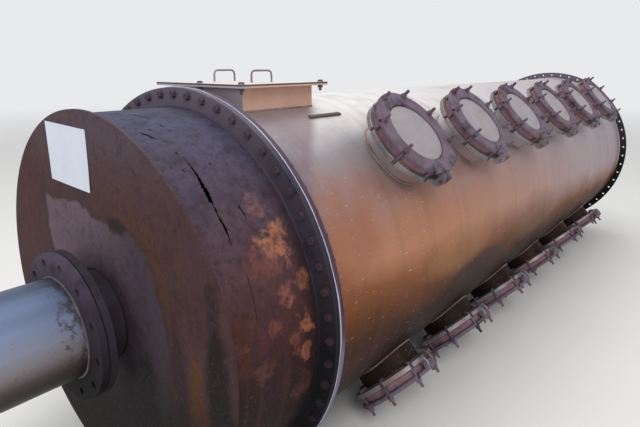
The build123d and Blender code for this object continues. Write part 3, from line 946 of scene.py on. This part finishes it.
def pipe_stainless(name, colours):
    """Drawn stainless pipe: bluish silver, painted shade below, dark speckled stains by its flange."""
    made, tree, place = new_finish(name)
    axes = add(tree, "SeparateXYZ", {0: place}).outputs
    clouds = add(tree, "TexNoise", {"Vector": place, "Scale": grain(24), "Detail": 7.0, "Roughness": 0.66})
    level = add(tree, "MapRange", {"Value": axes["Z"], "From Min": -0.18, "From Max": 0.18})
    # Painted light and shade: the colour runs from a dark underside to bluish silver above.
    stops = (
        (0.10, "#1f1a1b"), (0.95, "#505c76"), (0.24, "#2c2625"), (0.36, "#524948"),
        (0.50, "#837c80"), (0.64, "#8e91a4"), (0.80, colours.pipe_silver),
    )
    coat = add(tree, "ValToRGB", {"Fac": level}, stops)
    joint = ends_of("pipe_flange")[0]
    near = {"Value": axes["X"], "From Min": joint - 0.11, "From Max": joint, "To Max": 0.20}
    speckle = add(tree, "Math", {0: clouds, 1: add(tree, "MapRange", near)})
    coat = laid(tree, coat, "#41362f", speckle, 0.62, 0.74, 0.75)
    return shaded(made, coat, 0.7, 0.42, relief=(clouds, 0.15, 0.8 * MM))


def tank_finishes(colours):
    """Every shared finish by a short name, made once.

    Each line has the material's name, its maker and what the maker is given. For scaled
    steel that is three tones, the flakes' size, how fresh they look, and bands of colour by
    height, most of them painted shade towards the floor and painted light towards the top.
    For stained stainless it is the base, dirt and stain, how strong that stain is, the
    roughness and at times the metallic share.
    """
    # Painted shade: darker from half a metre up down to the floor.
    damp = (0.50, -0.05, 0.94, "#121213")
    recipes = {
        "plate": ("rolled_stainless_plate", rolled_stainless, colours),
        # In the bands, the darker ones towards the floor are painted shade and the lighter ones towards the
        # top painted light.
        "ring": (
            "scaled_flange_steel", scaled_steel, "#423c49", "#44363d", "#2b2731",
            12.0, 0.12, damp, (0.50, 0.76, 0.85, "#6e6775"),
        ),
        "back_ring": (
            "pickled_flange_rim", scaled_steel, "#4e3d49", "#533d44", "#3c2f38",
            12.0, 0.1, (0.02, -0.06, 0.85, "#77758c"), (0.42, 0.74, 0.6, "#67606e"),
        ),
        "pipe_ring": (
            "scaled_pipe_flange_steel", scaled_steel, "#564c5d", "#483a42", "#332b35",
            12.0, 0.12, (0.25, 0.12, 0.8, "#2c262f"), (0.06, -0.14, 0.95, "#131113"),
        ),
        "rear_ring": (
            "scaled_nozzle_steel", scaled_steel, "#39353f", "#352c31", "#262228",
            12.0, 0.1, (0.10, -0.20, 0.8, "#181517"),
        ),
        "clamp": ("rusted_clamp_steel", scaled_steel, "#716573", "#5b4247", "#382c35", 7.0, 0.25),
        # The lid rim's tones are partly painted light, made paler to make up for the shade under the clamp
        # ring.
        "skirt": ("rusted_lid_rim", scaled_steel, "#8a6e78", "#82605f", "#54424b", 7.0, 0.2),
        "bolt": (
            "rusted_bolt_steel", scaled_steel, "#40353f", "#53373d", "#35282e",
            7.0, 0.12, (0.42, -0.30, 0.8, "#1f1518"), (0.42, 0.74, 0.5, "#5a5260"),
        ),
        "bar": ("scaled_flat_bar", scaled_steel, "#625b5d", "#5e4e4a", "#484042", 6.0, 0.1),
        "rusty_weld": (
            "rusted_weld", scaled_steel, "#443a45", "#4a393d", "#302830",
            5.0, 0.08, damp, (0.42, 0.74, 0.6, "#4d4a5c"),
        ),
        "handle": ("rusted_handle_bar", stained_stainless, "#8f8184", "#8a6468", "#6c5c5e", 0.5, 0.5),
        # The neck flanges' green-blue blotches are a painted reflection of the sky.
        "rim": (
            "pickled_stainless_flange", stained_stainless,
            colours.rim_beige, "#6b5347", colours.verdigris, 0.75, 0.5,
        ),
        "lid": (
            "polished_stainless_lid", stained_stainless,
            colours.lid_grey, "#968c90", "#8d8587", 0.3, 0.42, 0.4,
        ),
        "weld": ("heat_tinted_weld", stained_stainless, "#9a877d", "#5e4a44", "#6d5b55", 0.5, 0.45),
        "pipe_weld": (
            "stained_pipe_weld", stained_stainless, "#6b6262", "#3b322f", "#857d84",
            0.4, 0.5,
        ),
        "pale_gasket": ("pressed_sheet_gasket", plain_sheet, colours.gasket_pale, 0.5, 14),
        "red_gasket": ("moulded_rubber_gasket", plain_sheet, colours.gasket_red, 0.7, 20),
        "sheet": ("plastic_film_sheet", plain_sheet, colours.sheet_white, 0.35, 160),
        "hatch": ("stained_hatch_plate", hatch_plate, colours),
        "pipe": ("drawn_stainless_pipe", pipe_stainless, colours),
    }
    return {
        key: bpy.data.materials.get(name) or maker(name, *looks)
        for key, (name, maker, *looks) in recipes.items()
    }


# Pieces of the tank


def lay_shell(scene):
    """Finishes the rolled courses and lays their girth, lengthwise and flange welds."""
    sizes, finishes = scene.tank_shell, tank_finishes(scene.tank_colours)
    courses = [f"shell_course_{number}" for number in range(1, 6)]
    plate = finishes["plate"]
    dress(plate, *courses)
    dress(finishes["bar"], "shell_bar")
    dress(finishes["ring"], "open_flange", "drum_flange")
    dress(finishes["back_ring"], "shell_flange")
    radius, leg = radius_of("shell_course_2"), sizes.fillet_leg
    bead = (sizes.girth_bead_width, sizes.girth_bead_height)
    seams = [round_bead(ends_of(course)[1], radius, *bead) for course in courses[:-1]]
    # The lengthwise seams sit on the plain flank, each course's turned from the last.
    for number, course in enumerate(courses):
        start, end = ends_of(course)
        turn = math.radians(150 + 34 * (number % 2) + 3 * number)
        seams.append(straight_bead(start + 0.03, end - 0.03, radius, turn, *bead))
    collars = [
        round_bead(station, radius, 2 * leg, leg)
        for station in (ends_of("shell_flange")[1], ends_of("open_flange")[0])
    ]
    piece("shell_seam_welds", together(*seams), plate)
    piece("flange_welds", together(*collars), plate)


def bolt_joint(scene):
    """Fills the joint's bolt circle: hexagon heads at the drum, nuts and studs behind."""
    sizes, finishes = scene.tank_shell, tank_finishes(scene.tank_colours)
    near, far = ends_of("drum_flange")[0], ends_of("shell_flange")[1]
    size, seat = sizes.bolt_size, 3 * MM
    washer = flat_ring(0, size, 0, seat, 0.8 * MM, 20)
    head = together(washer, hexagon(1.5 * size, seat, seat + 0.65 * size))
    nut = together(
        washer,
        hexagon(1.5 * size, seat, seat + 0.8 * size),
        stud(0.5 * size, seat, 1.45 * size),
    )
    circle = (sizes.bolt_count, sizes.bolt_circle)
    heads = stamped(head, girdle_frames(*circle, near, -1))
    nuts = stamped(nut, girdle_frames(*circle, far, 1))
    piece("joint_bolt_heads", heads, finishes["bolt"])
    piece("joint_nuts", nuts, finishes["bolt"])
    gasket = gasket_lip(*ends_of("body_gasket"), radius_of("body_gasket"), sizes.lip_height)
    piece("joint_gasket", gasket, finishes["pale_gasket"], ["body_gasket"])


def finish_drum(scene):
    """Finishes the drum and its end, and lays the welds of both and of the nozzle."""
    sizes, colours = scene.tank_shell, scene.tank_colours
    joint, radius = ends_of("drum_flange")[0], radius_of("drum_shell")

    def on_wall(back, above):
        """A place on the drum, so far back from the flange and so many degrees up."""
        return tuple(round_x(joint - back, radius, math.radians(above)))

    # Patches: distance back from the flange, angle up, reach, strength and colour.
    spots = (
        (0.150, 24.5, 0.12, 0.70, "#7b4c49"), (0.105, 29.0, 0.115, 0.85, "#a66d57"),
        (0.120, 38.5, 0.08, 0.65, "#7e5a59"), (0.045, 17.0, 0.06, 0.70, "#8f5d43"),
        (0.064, 6.0, 0.07, 0.90, "#9a6147"), (0.070, -2.0, 0.07, 0.85, "#8f5744"),
        (0.120, 16.0, 0.07, 0.75, "#8d584b"), (0.110, 3.0, 0.05, 0.60, "#7c4a40"),
        (0.190, 9.0, 0.05, 0.55, "#7c4a3e"), (0.200, 22.0, 0.12, 0.60, "#633b38"),
        (0.250, -1.0, 0.07, 0.40, "#6d4434"), (0.355, 9.0, 0.17, 0.80, "#48281f"),
        (0.060, -14.0, 0.09, 0.50, "#5c3a32"),
    )
    patches = [(on_wall(back, above), *look) for back, above, *look in spots]
    cracks = [(on_wall(0.29, 44.0), 0.05), (on_wall(0.27, 18.0), 0.06)]
    wall = drum_steel("rusted_rolled_steel", colours, patches, cracks)
    dress(wall, "drum_shell")
    dress(end_plate_steel("rusted_end_plate", colours), "end_plate")
    leg, neck_leg, neck = sizes.fillet_leg, sizes.nozzle_fillet, radius_of("nozzle_neck")
    beads = together(
        round_bead(joint, radius, 2 * leg, leg),
        round_bead(ends_of("drum_shell")[0], radius, 12 * MM, 6 * MM),
        round_bead(ends_of("end_plate")[0], neck + MM, 2 * neck_leg, neck_leg),
    )
    piece("drum_welds", beads, tank_finishes(colours)["rusty_weld"])
    piece("tear_lips", torn_lips(), wall)


def finish_nozzle(scene):
    """Finishes the nozzle, both pipe flanges and the pipe, with the pipe's weld."""
    finishes = tank_finishes(scene.tank_colours)
    dress(finishes["pipe_ring"], "pipe_flange")
    dress(finishes["rear_ring"], "nozzle_neck", "nozzle_flange", "nozzle_gasket")
    dress(finishes["pipe"], "pipe_stub")
    leg = 0.7 * scene.tank_shell.fillet_leg
    feet = (
        (ends_of("pipe_flange")[0], radius_of("pipe_stub")),
        (ends_of("nozzle_flange")[1], radius_of("nozzle_neck")),
    )
    beads = [round_bead(*foot, 2 * leg, leg, 180) for foot in feet]
    piece("pipe_welds", together(*beads), finishes["pipe_weld"])


def fit_hatch(scene):
    """Finishes the hatch and adds its round handles, its three bolts and its welds."""
    sizes, finishes = scene.tank_hatch, tank_finishes(scene.tank_colours)
    dress(finishes["hatch"], "hatch_walls", "hatch_flange", "hatch_lid")
    low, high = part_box("hatch_lid")
    middle, top, sunk = (low.x + high.x) / 2, high.z, -2 * MM
    half, rise = sizes.handle_length / 2, sizes.handle_height - sizes.handle_bar
    corners = [(-half, sunk), (-half, rise), (half, rise), (half, sunk)]
    bow = bent_rod(rounded_path(corners, 22 * MM), sizes.handle_bar)
    reach = sizes.handle_spread / 2
    bows = stamped(bow, [frame_of((middle, side, top)) for side in (-reach, reach)])
    piece("hatch_lift_handles", bows, finishes["handle"], ["hatch_handles"])
    under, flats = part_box("hatch_flange")[0].z, 19 * MM
    bolt = together(
        hexagon(flats, top, top + 8 * MM),
        stud(6 * MM, under - 24 * MM, top),
        hexagon(flats, under - 11 * MM, under),
        flat_ring(0, 13 * MM, top, top + 2 * MM, 0.5 * MM, 18),
    )
    near, far = low.x + sizes.bolt_inset, high.x - sizes.bolt_inset
    side = low.y + sizes.bolt_inset
    places = ((near, side), (near, (low.y + high.y) / 2), (far, side))
    bolts = stamped(bolt, [frame_of((x, y, 0)) for x, y in places])
    piece("hatch_lid_bolts", bolts, finishes["clamp"])
    weld = hatch_weld(*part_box("hatch_walls"), radius_of("shell_course_2"), 5 * MM)
    piece("hatch_foot_weld", weld, finishes["weld"])


def lid_face(sizes):
    """The lid's raised face: a closed profile turned about the manhole's axis.

    It is a pan of 6 mm plate that fills the clamp ring's bore, with a rounded shoulder.
    """
    face, low = sizes.lid_face, sizes.ring_seat - MM
    rim = sizes.ring_bore - 2 * MM
    inner = rim - 6 * MM
    profile = [(0, face), (rim - 14 * MM, face), (inner, face - 0.8 * MM)]
    profile += [(rim - 2 * MM, face - 3 * MM), (rim, face - 7 * MM), (rim, low)]
    profile += [(inner, low), (inner, face - 8 * MM), (0, face - 6 * MM)]
    return turned(profile, 96)


def lid_skirt(sizes):
    """The lid's rim: it runs out under the clamp ring and turns down to the gasket."""
    top, foot = sizes.ring_seat, sizes.gasket_seat + sizes.gasket_thickness
    bore, rim = sizes.ring_bore - 8 * MM, sizes.lid_radius
    inner, under = rim - 6 * MM, top - 6 * MM
    profile = [(bore, top), (inner, top), (rim - 2 * MM, top - 2 * MM), (rim, under)]
    profile += [(rim, foot + 2 * MM), (rim + 3 * MM, foot), (inner, foot)]
    profile += [(inner, under), (bore, under)]
    return turned(profile, 96)


def hook_bolt(sizes):
    """A hook bolt at the +X side of a manhole: a bent bar, a nut, a washer and a tip.

    The bar's path runs in from behind the neck flange, turns a right angle and stands
    out through both notches.
    """
    bar, circle, face = sizes.hook_radius, sizes.hook_circle, sizes.ring_face
    low = sizes.flange_seat - bar - 0.5 * MM
    corners = [(sizes.neck_radius + 6 * MM, low), (circle, low), (circle, sizes.hook_tip)]
    rod = bent_rod(rounded_path(corners, 2.2 * bar), bar, 10)
    fixings = together(
        flat_ring(0, 14.5 * MM, face, face + 3 * MM, 0.6 * MM, 18),
        hexagon(22 * MM, face + 3 * MM, face + 15 * MM),
    )
    return together(rod, stamped(fixings, [frame_of((circle, 0, 0))]))


def hinge_plate(sizes, thickness, low, high, round_off):
    """A hinge plate in the manhole's YZ plane, with its flat on the rim.

    Its free end is (r cos t, h sign(sin t) |sin t|^0.8), with h half the plate's height.
    """
    foot, reach = sizes.rim_radius - 3 * MM, sizes.rim_radius + sizes.ear_reach
    t = np.linspace(-np.pi / 2, np.pi / 2, 17)
    bulge = np.sign(np.sin(t)) * np.abs(np.sin(t)) ** 0.8
    out = reach - round_off + round_off * np.cos(t)
    nose = np.stack([out, (low + high) / 2 + (high - low) / 2 * bulge], axis=1)
    outline = np.concatenate([[(foot, low)], nose, [(foot, high)]])
    points, quads = slab(outline, -thickness / 2, thickness / 2, 1.2 * MM)
    return points[:, [2, 0, 1]], quads


def manhole_hinge(sizes):
    """Two ears on the neck flange, the pin through them and the knuckle on the ring."""
    gap, thickness = sizes.ear_gap, sizes.ear_thickness
    low, high = sizes.flange_seat, sizes.ring_face - 4 * MM
    side = (gap + thickness) / 2
    ear = hinge_plate(sizes, thickness, low, high, 24 * MM)
    ears = stamped(ear, [frame_of((at, 0, 0)) for at in (-side, side)])
    foot, top = sizes.ring_seat - 20 * MM, sizes.ring_face - 2 * MM
    knuckle = hinge_plate(sizes, gap - 2 * MM, foot, top, 18 * MM)
    pin_at = (0, sizes.rim_radius + 0.6 * sizes.ear_reach, (low + high) / 2)
    half = gap / 2 + thickness + 7 * MM
    pin = together(stud(7 * MM, -half, half), stud(11 * MM, -half - 3 * MM, -half + 4 * MM))
    pin = stamped(pin, [frame_of(pin_at, (0, 1, 0), (1, 0, 0))])
    return ears, together(knuckle, pin)


def fit_manholes(scene):
    """Builds both rows of manholes from one manhole's pieces."""
    sizes, finishes = scene.tank_manholes, tank_finishes(scene.tank_colours)
    neck, rim, seat = sizes.neck_radius, sizes.rim_radius, sizes.flange_seat
    count, bar = sizes.hook_count, sizes.hook_radius
    turns = [(number + 0.5) * 2 * math.pi / count for number in range(count)]
    notches = (sizes.hook_circle - bar - MM, 2 * bar + 3 * MM, count)
    pressed = sizes.gasket_seat + sizes.gasket_thickness
    sides = (sizes.gasket_seat, pressed, MM)
    fillet = [(neck - MM, seat - 5 * MM), (neck + 5 * MM, seat), (neck - MM, seat + 2 * MM)]
    foot = saddle_bead(neck, radius_of("shell_course_2"), 6 * MM)
    ears, knuckle = manhole_hinge(sizes)
    # Each piece of a manhole: its name, shape, finish and slot, and what it stands for.
    shapes = (
        (
            "notched_flanges",
            notched_ring(neck, rim, seat, sizes.gasket_seat, *notches, edge=1.5 * MM),
            "rim", STEEL, ["neck_flanges"],
        ),
        (
            "gaskets", flat_ring(neck, sizes.lid_radius + 2 * MM, *sides, 72, 3),
            "red_gasket", "gasket_sheet", [],
        ),
        ("lid_faces", lid_face(sizes), "lid", STEEL, ["lids"]),
        ("lid_skirts", lid_skirt(sizes), "skirt", STEEL, ["lids"]),
        (
            "notched_rings",
            notched_ring(
                sizes.ring_bore, rim, sizes.ring_seat, sizes.ring_face, *notches,
                edge=4 * MM, bumps=0.8 * MM,
            ),
            "clamp", RUSTY, ["clamp_rings"],
        ),
        (
            "bent_hooks", stamped(hook_bolt(sizes), [turn_z(turn) for turn in turns]),
            "clamp", RUSTY, ["hook_bolts"],
        ),
        ("rounded_ears", ears, "rim", STEEL, ["hinge_ears"]),
        ("pinned_knuckles", knuckle, "clamp", RUSTY, ["hinge_knuckles"]),
        ("neck_welds", together(foot, turned(softened(fillet, MM), 64)), "weld", STEEL, []),
    )
    # The upper row's hinges are below its lids, and the lower row's are above.
    rows = (("upper", sizes.upper_angle, math.pi), ("lower", -sizes.lower_angle, 0.0))
    for row, turn, hinge_turn in rows:
        dress(finishes["plate"], f"{row}_necks")
        places = manhole_frames(sizes, turn)
        for name, shape, finish, slot, solids in shapes:
            hinged = name in ("rounded_ears", "pinned_knuckles")
            at = places @ turn_z(hinge_turn) if hinged else places
            stands_for = [f"{row}_{solid}" for solid in solids]
            piece(f"{row}_{name}", stamped(shape, at), finishes[finish], stands_for)


def fix_sheet(scene):
    """The blank sheet on the end plate, bowed a little and lifted at its lower corner.

    Over the sheet, u and v run from 0 to 1 from its lower left corner. It stands off by
    0.4 mm + 4 mm (1 - u) (1 - v)^2 + 1 mm sin(3 u) (1 - v).
    """
    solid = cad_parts["label"].data
    corners = np.empty(len(solid.vertices) * 3)
    solid.vertices.foreach_get("co", corners)
    corners = np.unique(np.round(corners.reshape(-1, 3)[:, 1:], 5), axis=0)
    total, tilt = corners.sum(axis=1), corners[:, 0] - corners[:, 1]
    left, right, above = corners[[total.argmin(), tilt.argmax(), tilt.argmin()]]
    rows, columns = 40, 30
    u = np.linspace(0, 1, rows)[:, None]
    v = np.linspace(0, 1, columns)[None]
    flat = left + u[..., None] * (right - left) + v[..., None] * (above - left)
    lift = 0.4 + 4 * (1 - u) * (1 - v) ** 2 + np.sin(3 * u) * (1 - v)
    back = ends_of("end_plate")[0] - lift * MM
    faces = (back - 0.6 * MM, back)
    front, back = (np.concatenate([x[..., None], flat], axis=-1) for x in faces)
    wrapped = np.concatenate([front, back[:, ::-1]], axis=1)
    ends = [np.stack([end[:columns], end[columns:][::-1]]) for end in wrapped[[0, -1]]]
    caps = [surface(end) for end in ends]
    shape = together(surface(wrapped, wrap_columns=True), *caps)
    sheet = tank_finishes(scene.tank_colours)["sheet"]
    piece("blank_sheet", shape, sheet, ["label"])


def to_the_eye(tree):
    """A mask of 1 for the rays of the camera and of mirrored views, and 0 for others."""
    rays = add(tree, "LightPath", {}).outputs
    return add(tree, "Math", {0: rays["Is Camera Ray"], 1: rays["Is Glossy Ray"]}, operation="MAXIMUM")


def set_stage(scene):
    """A pale floor under the tank, soft studio light and the camera."""
    (left, _, ground), (right, _, _) = SOLID_BOX
    centre = ((left + right) / 2, 0.0, ground)
    air_shade, air_strength = opaque("#f4f5f7"), 0.9
    # The floor is a disc of 70 m, with rings that lie closer towards its middle.
    reach = np.linspace(0, 1, 24)[:, None] ** 2 * 70.0
    disc = round_z(reach, 0.0, around(64)[None]) + centre
    mesh = mesh_of("studio_floor", surface(disc, wrap_columns=True))
    paint, tree, place = new_finish("studio_floor_paint")
    shader = add(tree, "BsdfPrincipled", {"Base Color": opaque(scene.tank_colours.floor), "Roughness": 0.7})
    # To the eye the floor fades into the pale air between 5 and 22 m from the tank.
    away = add(tree, "VectorMath", {0: place, 1: centre}, operation="DISTANCE")
    span = {"Value": away, "From Min": 5.0, "From Max": 22.0}
    fade = add(tree, "MapRange", span, interpolation_type="SMOOTHSTEP")
    fade = add(tree, "Math", {0: fade, 1: to_the_eye(tree)}, operation="MULTIPLY")
    haze = add(tree, "Emission", {"Color": air_shade, "Strength": air_strength})
    faded = add(tree, "MixShader", {0: fade, 1: shader, 2: haze})
    add(tree, "OutputMaterial", {"Surface": faded})
    mesh.materials.append(paint)
    floor = bpy.data.objects.new("studio_floor", mesh)
    scene.collection.objects.link(floor)
    # The air lights the tank at 0.72 and looks as bright as the floor's far end.
    scene.world = bpy.data.worlds.new("studio_air")
    scene.world.use_nodes = True
    tree = scene.world.node_tree
    tree.nodes.clear()
    span = {"Value": to_the_eye(tree), "To Min": 0.72, "To Max": air_strength}
    glow = {"Color": air_shade, "Strength": add(tree, "MapRange", span)}
    add(tree, "OutputWorld", {"Surface": add(tree, "Background", glow)})
    for name, at, size, power in (
        ("key_lamp", (-7.5, -5.0, 6.0), 4.0, 230.0),
        ("fill_lamp", (-9.5, -1.0, 2.4), 3.0, 50.0),
        ("top_lamp", (-2.0, 1.5, 6.5), 6.0, 230.0),
    ):
        light = bpy.data.lights.new(name, "AREA")
        light.shape, light.size, light.energy = "DISK", size, power
        lamp = bpy.data.objects.new(name, light)
        lamp.location = at
        aim = Vector((-2.8, 0.0, 0.0)) - Vector(at)
        lamp.rotation_euler = aim.to_track_quat("-Z", "Y").to_euler()
        scene.collection.objects.link(lamp)
    aim_camera(scene)


def aim_camera(scene):
    """The camera, placed from the shell's flange face and turned by yaw and pitch.

    Its focal length is 36 mm times f / 640, where f is its reach in pixels of the
    640 by 427 picture.
    """
    picture_width, reach = 640, 512.15
    yaw, pitch = 0.6963, -0.2832
    data = bpy.data.cameras.new("tank_camera")
    data.sensor_width = 36.0
    data.lens = data.sensor_width * reach / picture_width
    data.clip_start, data.clip_end = 0.05, 300.0
    camera = bpy.data.objects.new("tank_camera", data)
    camera.location = (ends_of("shell_course_1")[0] - 1.1795, -1.6749, 0.8592)
    level = math.cos(pitch)
    gaze = Vector((level * math.cos(yaw), level * math.sin(yaw), math.sin(pitch)))
    camera.rotation_euler = gaze.to_track_quat("-Z", "Y").to_euler()
    scene.collection.objects.link(camera)
    scene.camera = camera
    scene.view_settings.view_transform = "Standard"


# Operators and panel


class TANK_OT_stage(bpy.types.Operator):
    """Sets the floor, the light and the camera"""

    bl_idname = "tank.stage"
    bl_label = "Studio"

    def execute(self, context):
        set_stage(context.scene)
        return {"FINISHED"}


class TANK_OT_shell(bpy.types.Operator):
    """Finishes the rolled courses and lays their welds"""

    bl_idname = "tank.shell"
    bl_label = "Shell"

    def execute(self, context):
        lay_shell(context.scene)
        return {"FINISHED"}


class TANK_OT_joint(bpy.types.Operator):
    """Fills the drum's joint with bolts and its gasket"""

    bl_idname = "tank.joint"
    bl_label = "Bolted joint"

    def execute(self, context):
        bolt_joint(context.scene)
        return {"FINISHED"}


class TANK_OT_drum(bpy.types.Operator):
    """Finishes the rusted drum and its flat end"""

    bl_idname = "tank.drum"
    bl_label = "Drum"

    def execute(self, context):
        finish_drum(context.scene)
        return {"FINISHED"}


class TANK_OT_nozzle(bpy.types.Operator):
    """Finishes the nozzle and the pipe"""

    bl_idname = "tank.nozzle"
    bl_label = "Nozzle and pipe"

    def execute(self, context):
        finish_nozzle(context.scene)
        return {"FINISHED"}


class TANK_OT_hatch(bpy.types.Operator):
    """Finishes the hatch and adds its handles and bolts"""

    bl_idname = "tank.hatch"
    bl_label = "Hatch"

    def execute(self, context):
        fit_hatch(context.scene)
        return {"FINISHED"}


class TANK_OT_manholes(bpy.types.Operator):
    """Builds both rows of clamped manholes"""

    bl_idname = "tank.manholes"
    bl_label = "Manholes"

    def execute(self, context):
        fit_manholes(context.scene)
        return {"FINISHED"}


class TANK_OT_sheet(bpy.types.Operator):
    """Hangs the blank sheet on the end plate"""

    bl_idname = "tank.sheet"
    bl_label = "Blank sheet"

    def execute(self, context):
        fix_sheet(context.scene)
        return {"FINISHED"}


OPERATORS = (
    TANK_OT_stage, TANK_OT_shell, TANK_OT_joint, TANK_OT_drum,
    TANK_OT_nozzle, TANK_OT_hatch, TANK_OT_manholes, TANK_OT_sheet,
)
GROUPS = {
    "tank_shell": TankShellSizes,
    "tank_manholes": TankManholeSizes,
    "tank_hatch": TankHatchSizes,
    "tank_colours": TankColours,
}


class TANK_PT_sidebar(bpy.types.Panel):
    """Lists the tank's operators and sizes"""

    bl_idname = "TANK_PT_sidebar"
    bl_label = "Stainless steel tank"
    bl_space_type = "VIEW_3D"
    bl_region_type = "UI"
    bl_category = "Tank"

    def draw(self, context):
        for operator in OPERATORS:
            self.layout.operator(operator.bl_idname)
        for name, group in GROUPS.items():
            box = self.layout.box()
            for field in group.__annotations__:
                box.prop(getattr(context.scene, name), field)


CLASSES = (*GROUPS.values(), *OPERATORS, TANK_PT_sidebar)


def register():
    for made in CLASSES:
        bpy.utils.register_class(made)
    for name, group in GROUPS.items():
        setattr(bpy.types.Scene, name, bpy.props.PointerProperty(type=group))


def unregister():
    for name in GROUPS:
        delattr(bpy.types.Scene, name)
    for made in reversed(CLASSES):
        bpy.utils.unregister_class(made)


def main():
    """Registers the add-on and builds every piece in order."""
    register()
    bpy.ops.tank.stage()
    bpy.ops.tank.shell()
    bpy.ops.tank.joint()
    bpy.ops.tank.drum()
    bpy.ops.tank.nozzle()
    bpy.ops.tank.hatch()
    bpy.ops.tank.manholes()
    bpy.ops.tank.sheet()


if __name__ == "__main__":
    main()
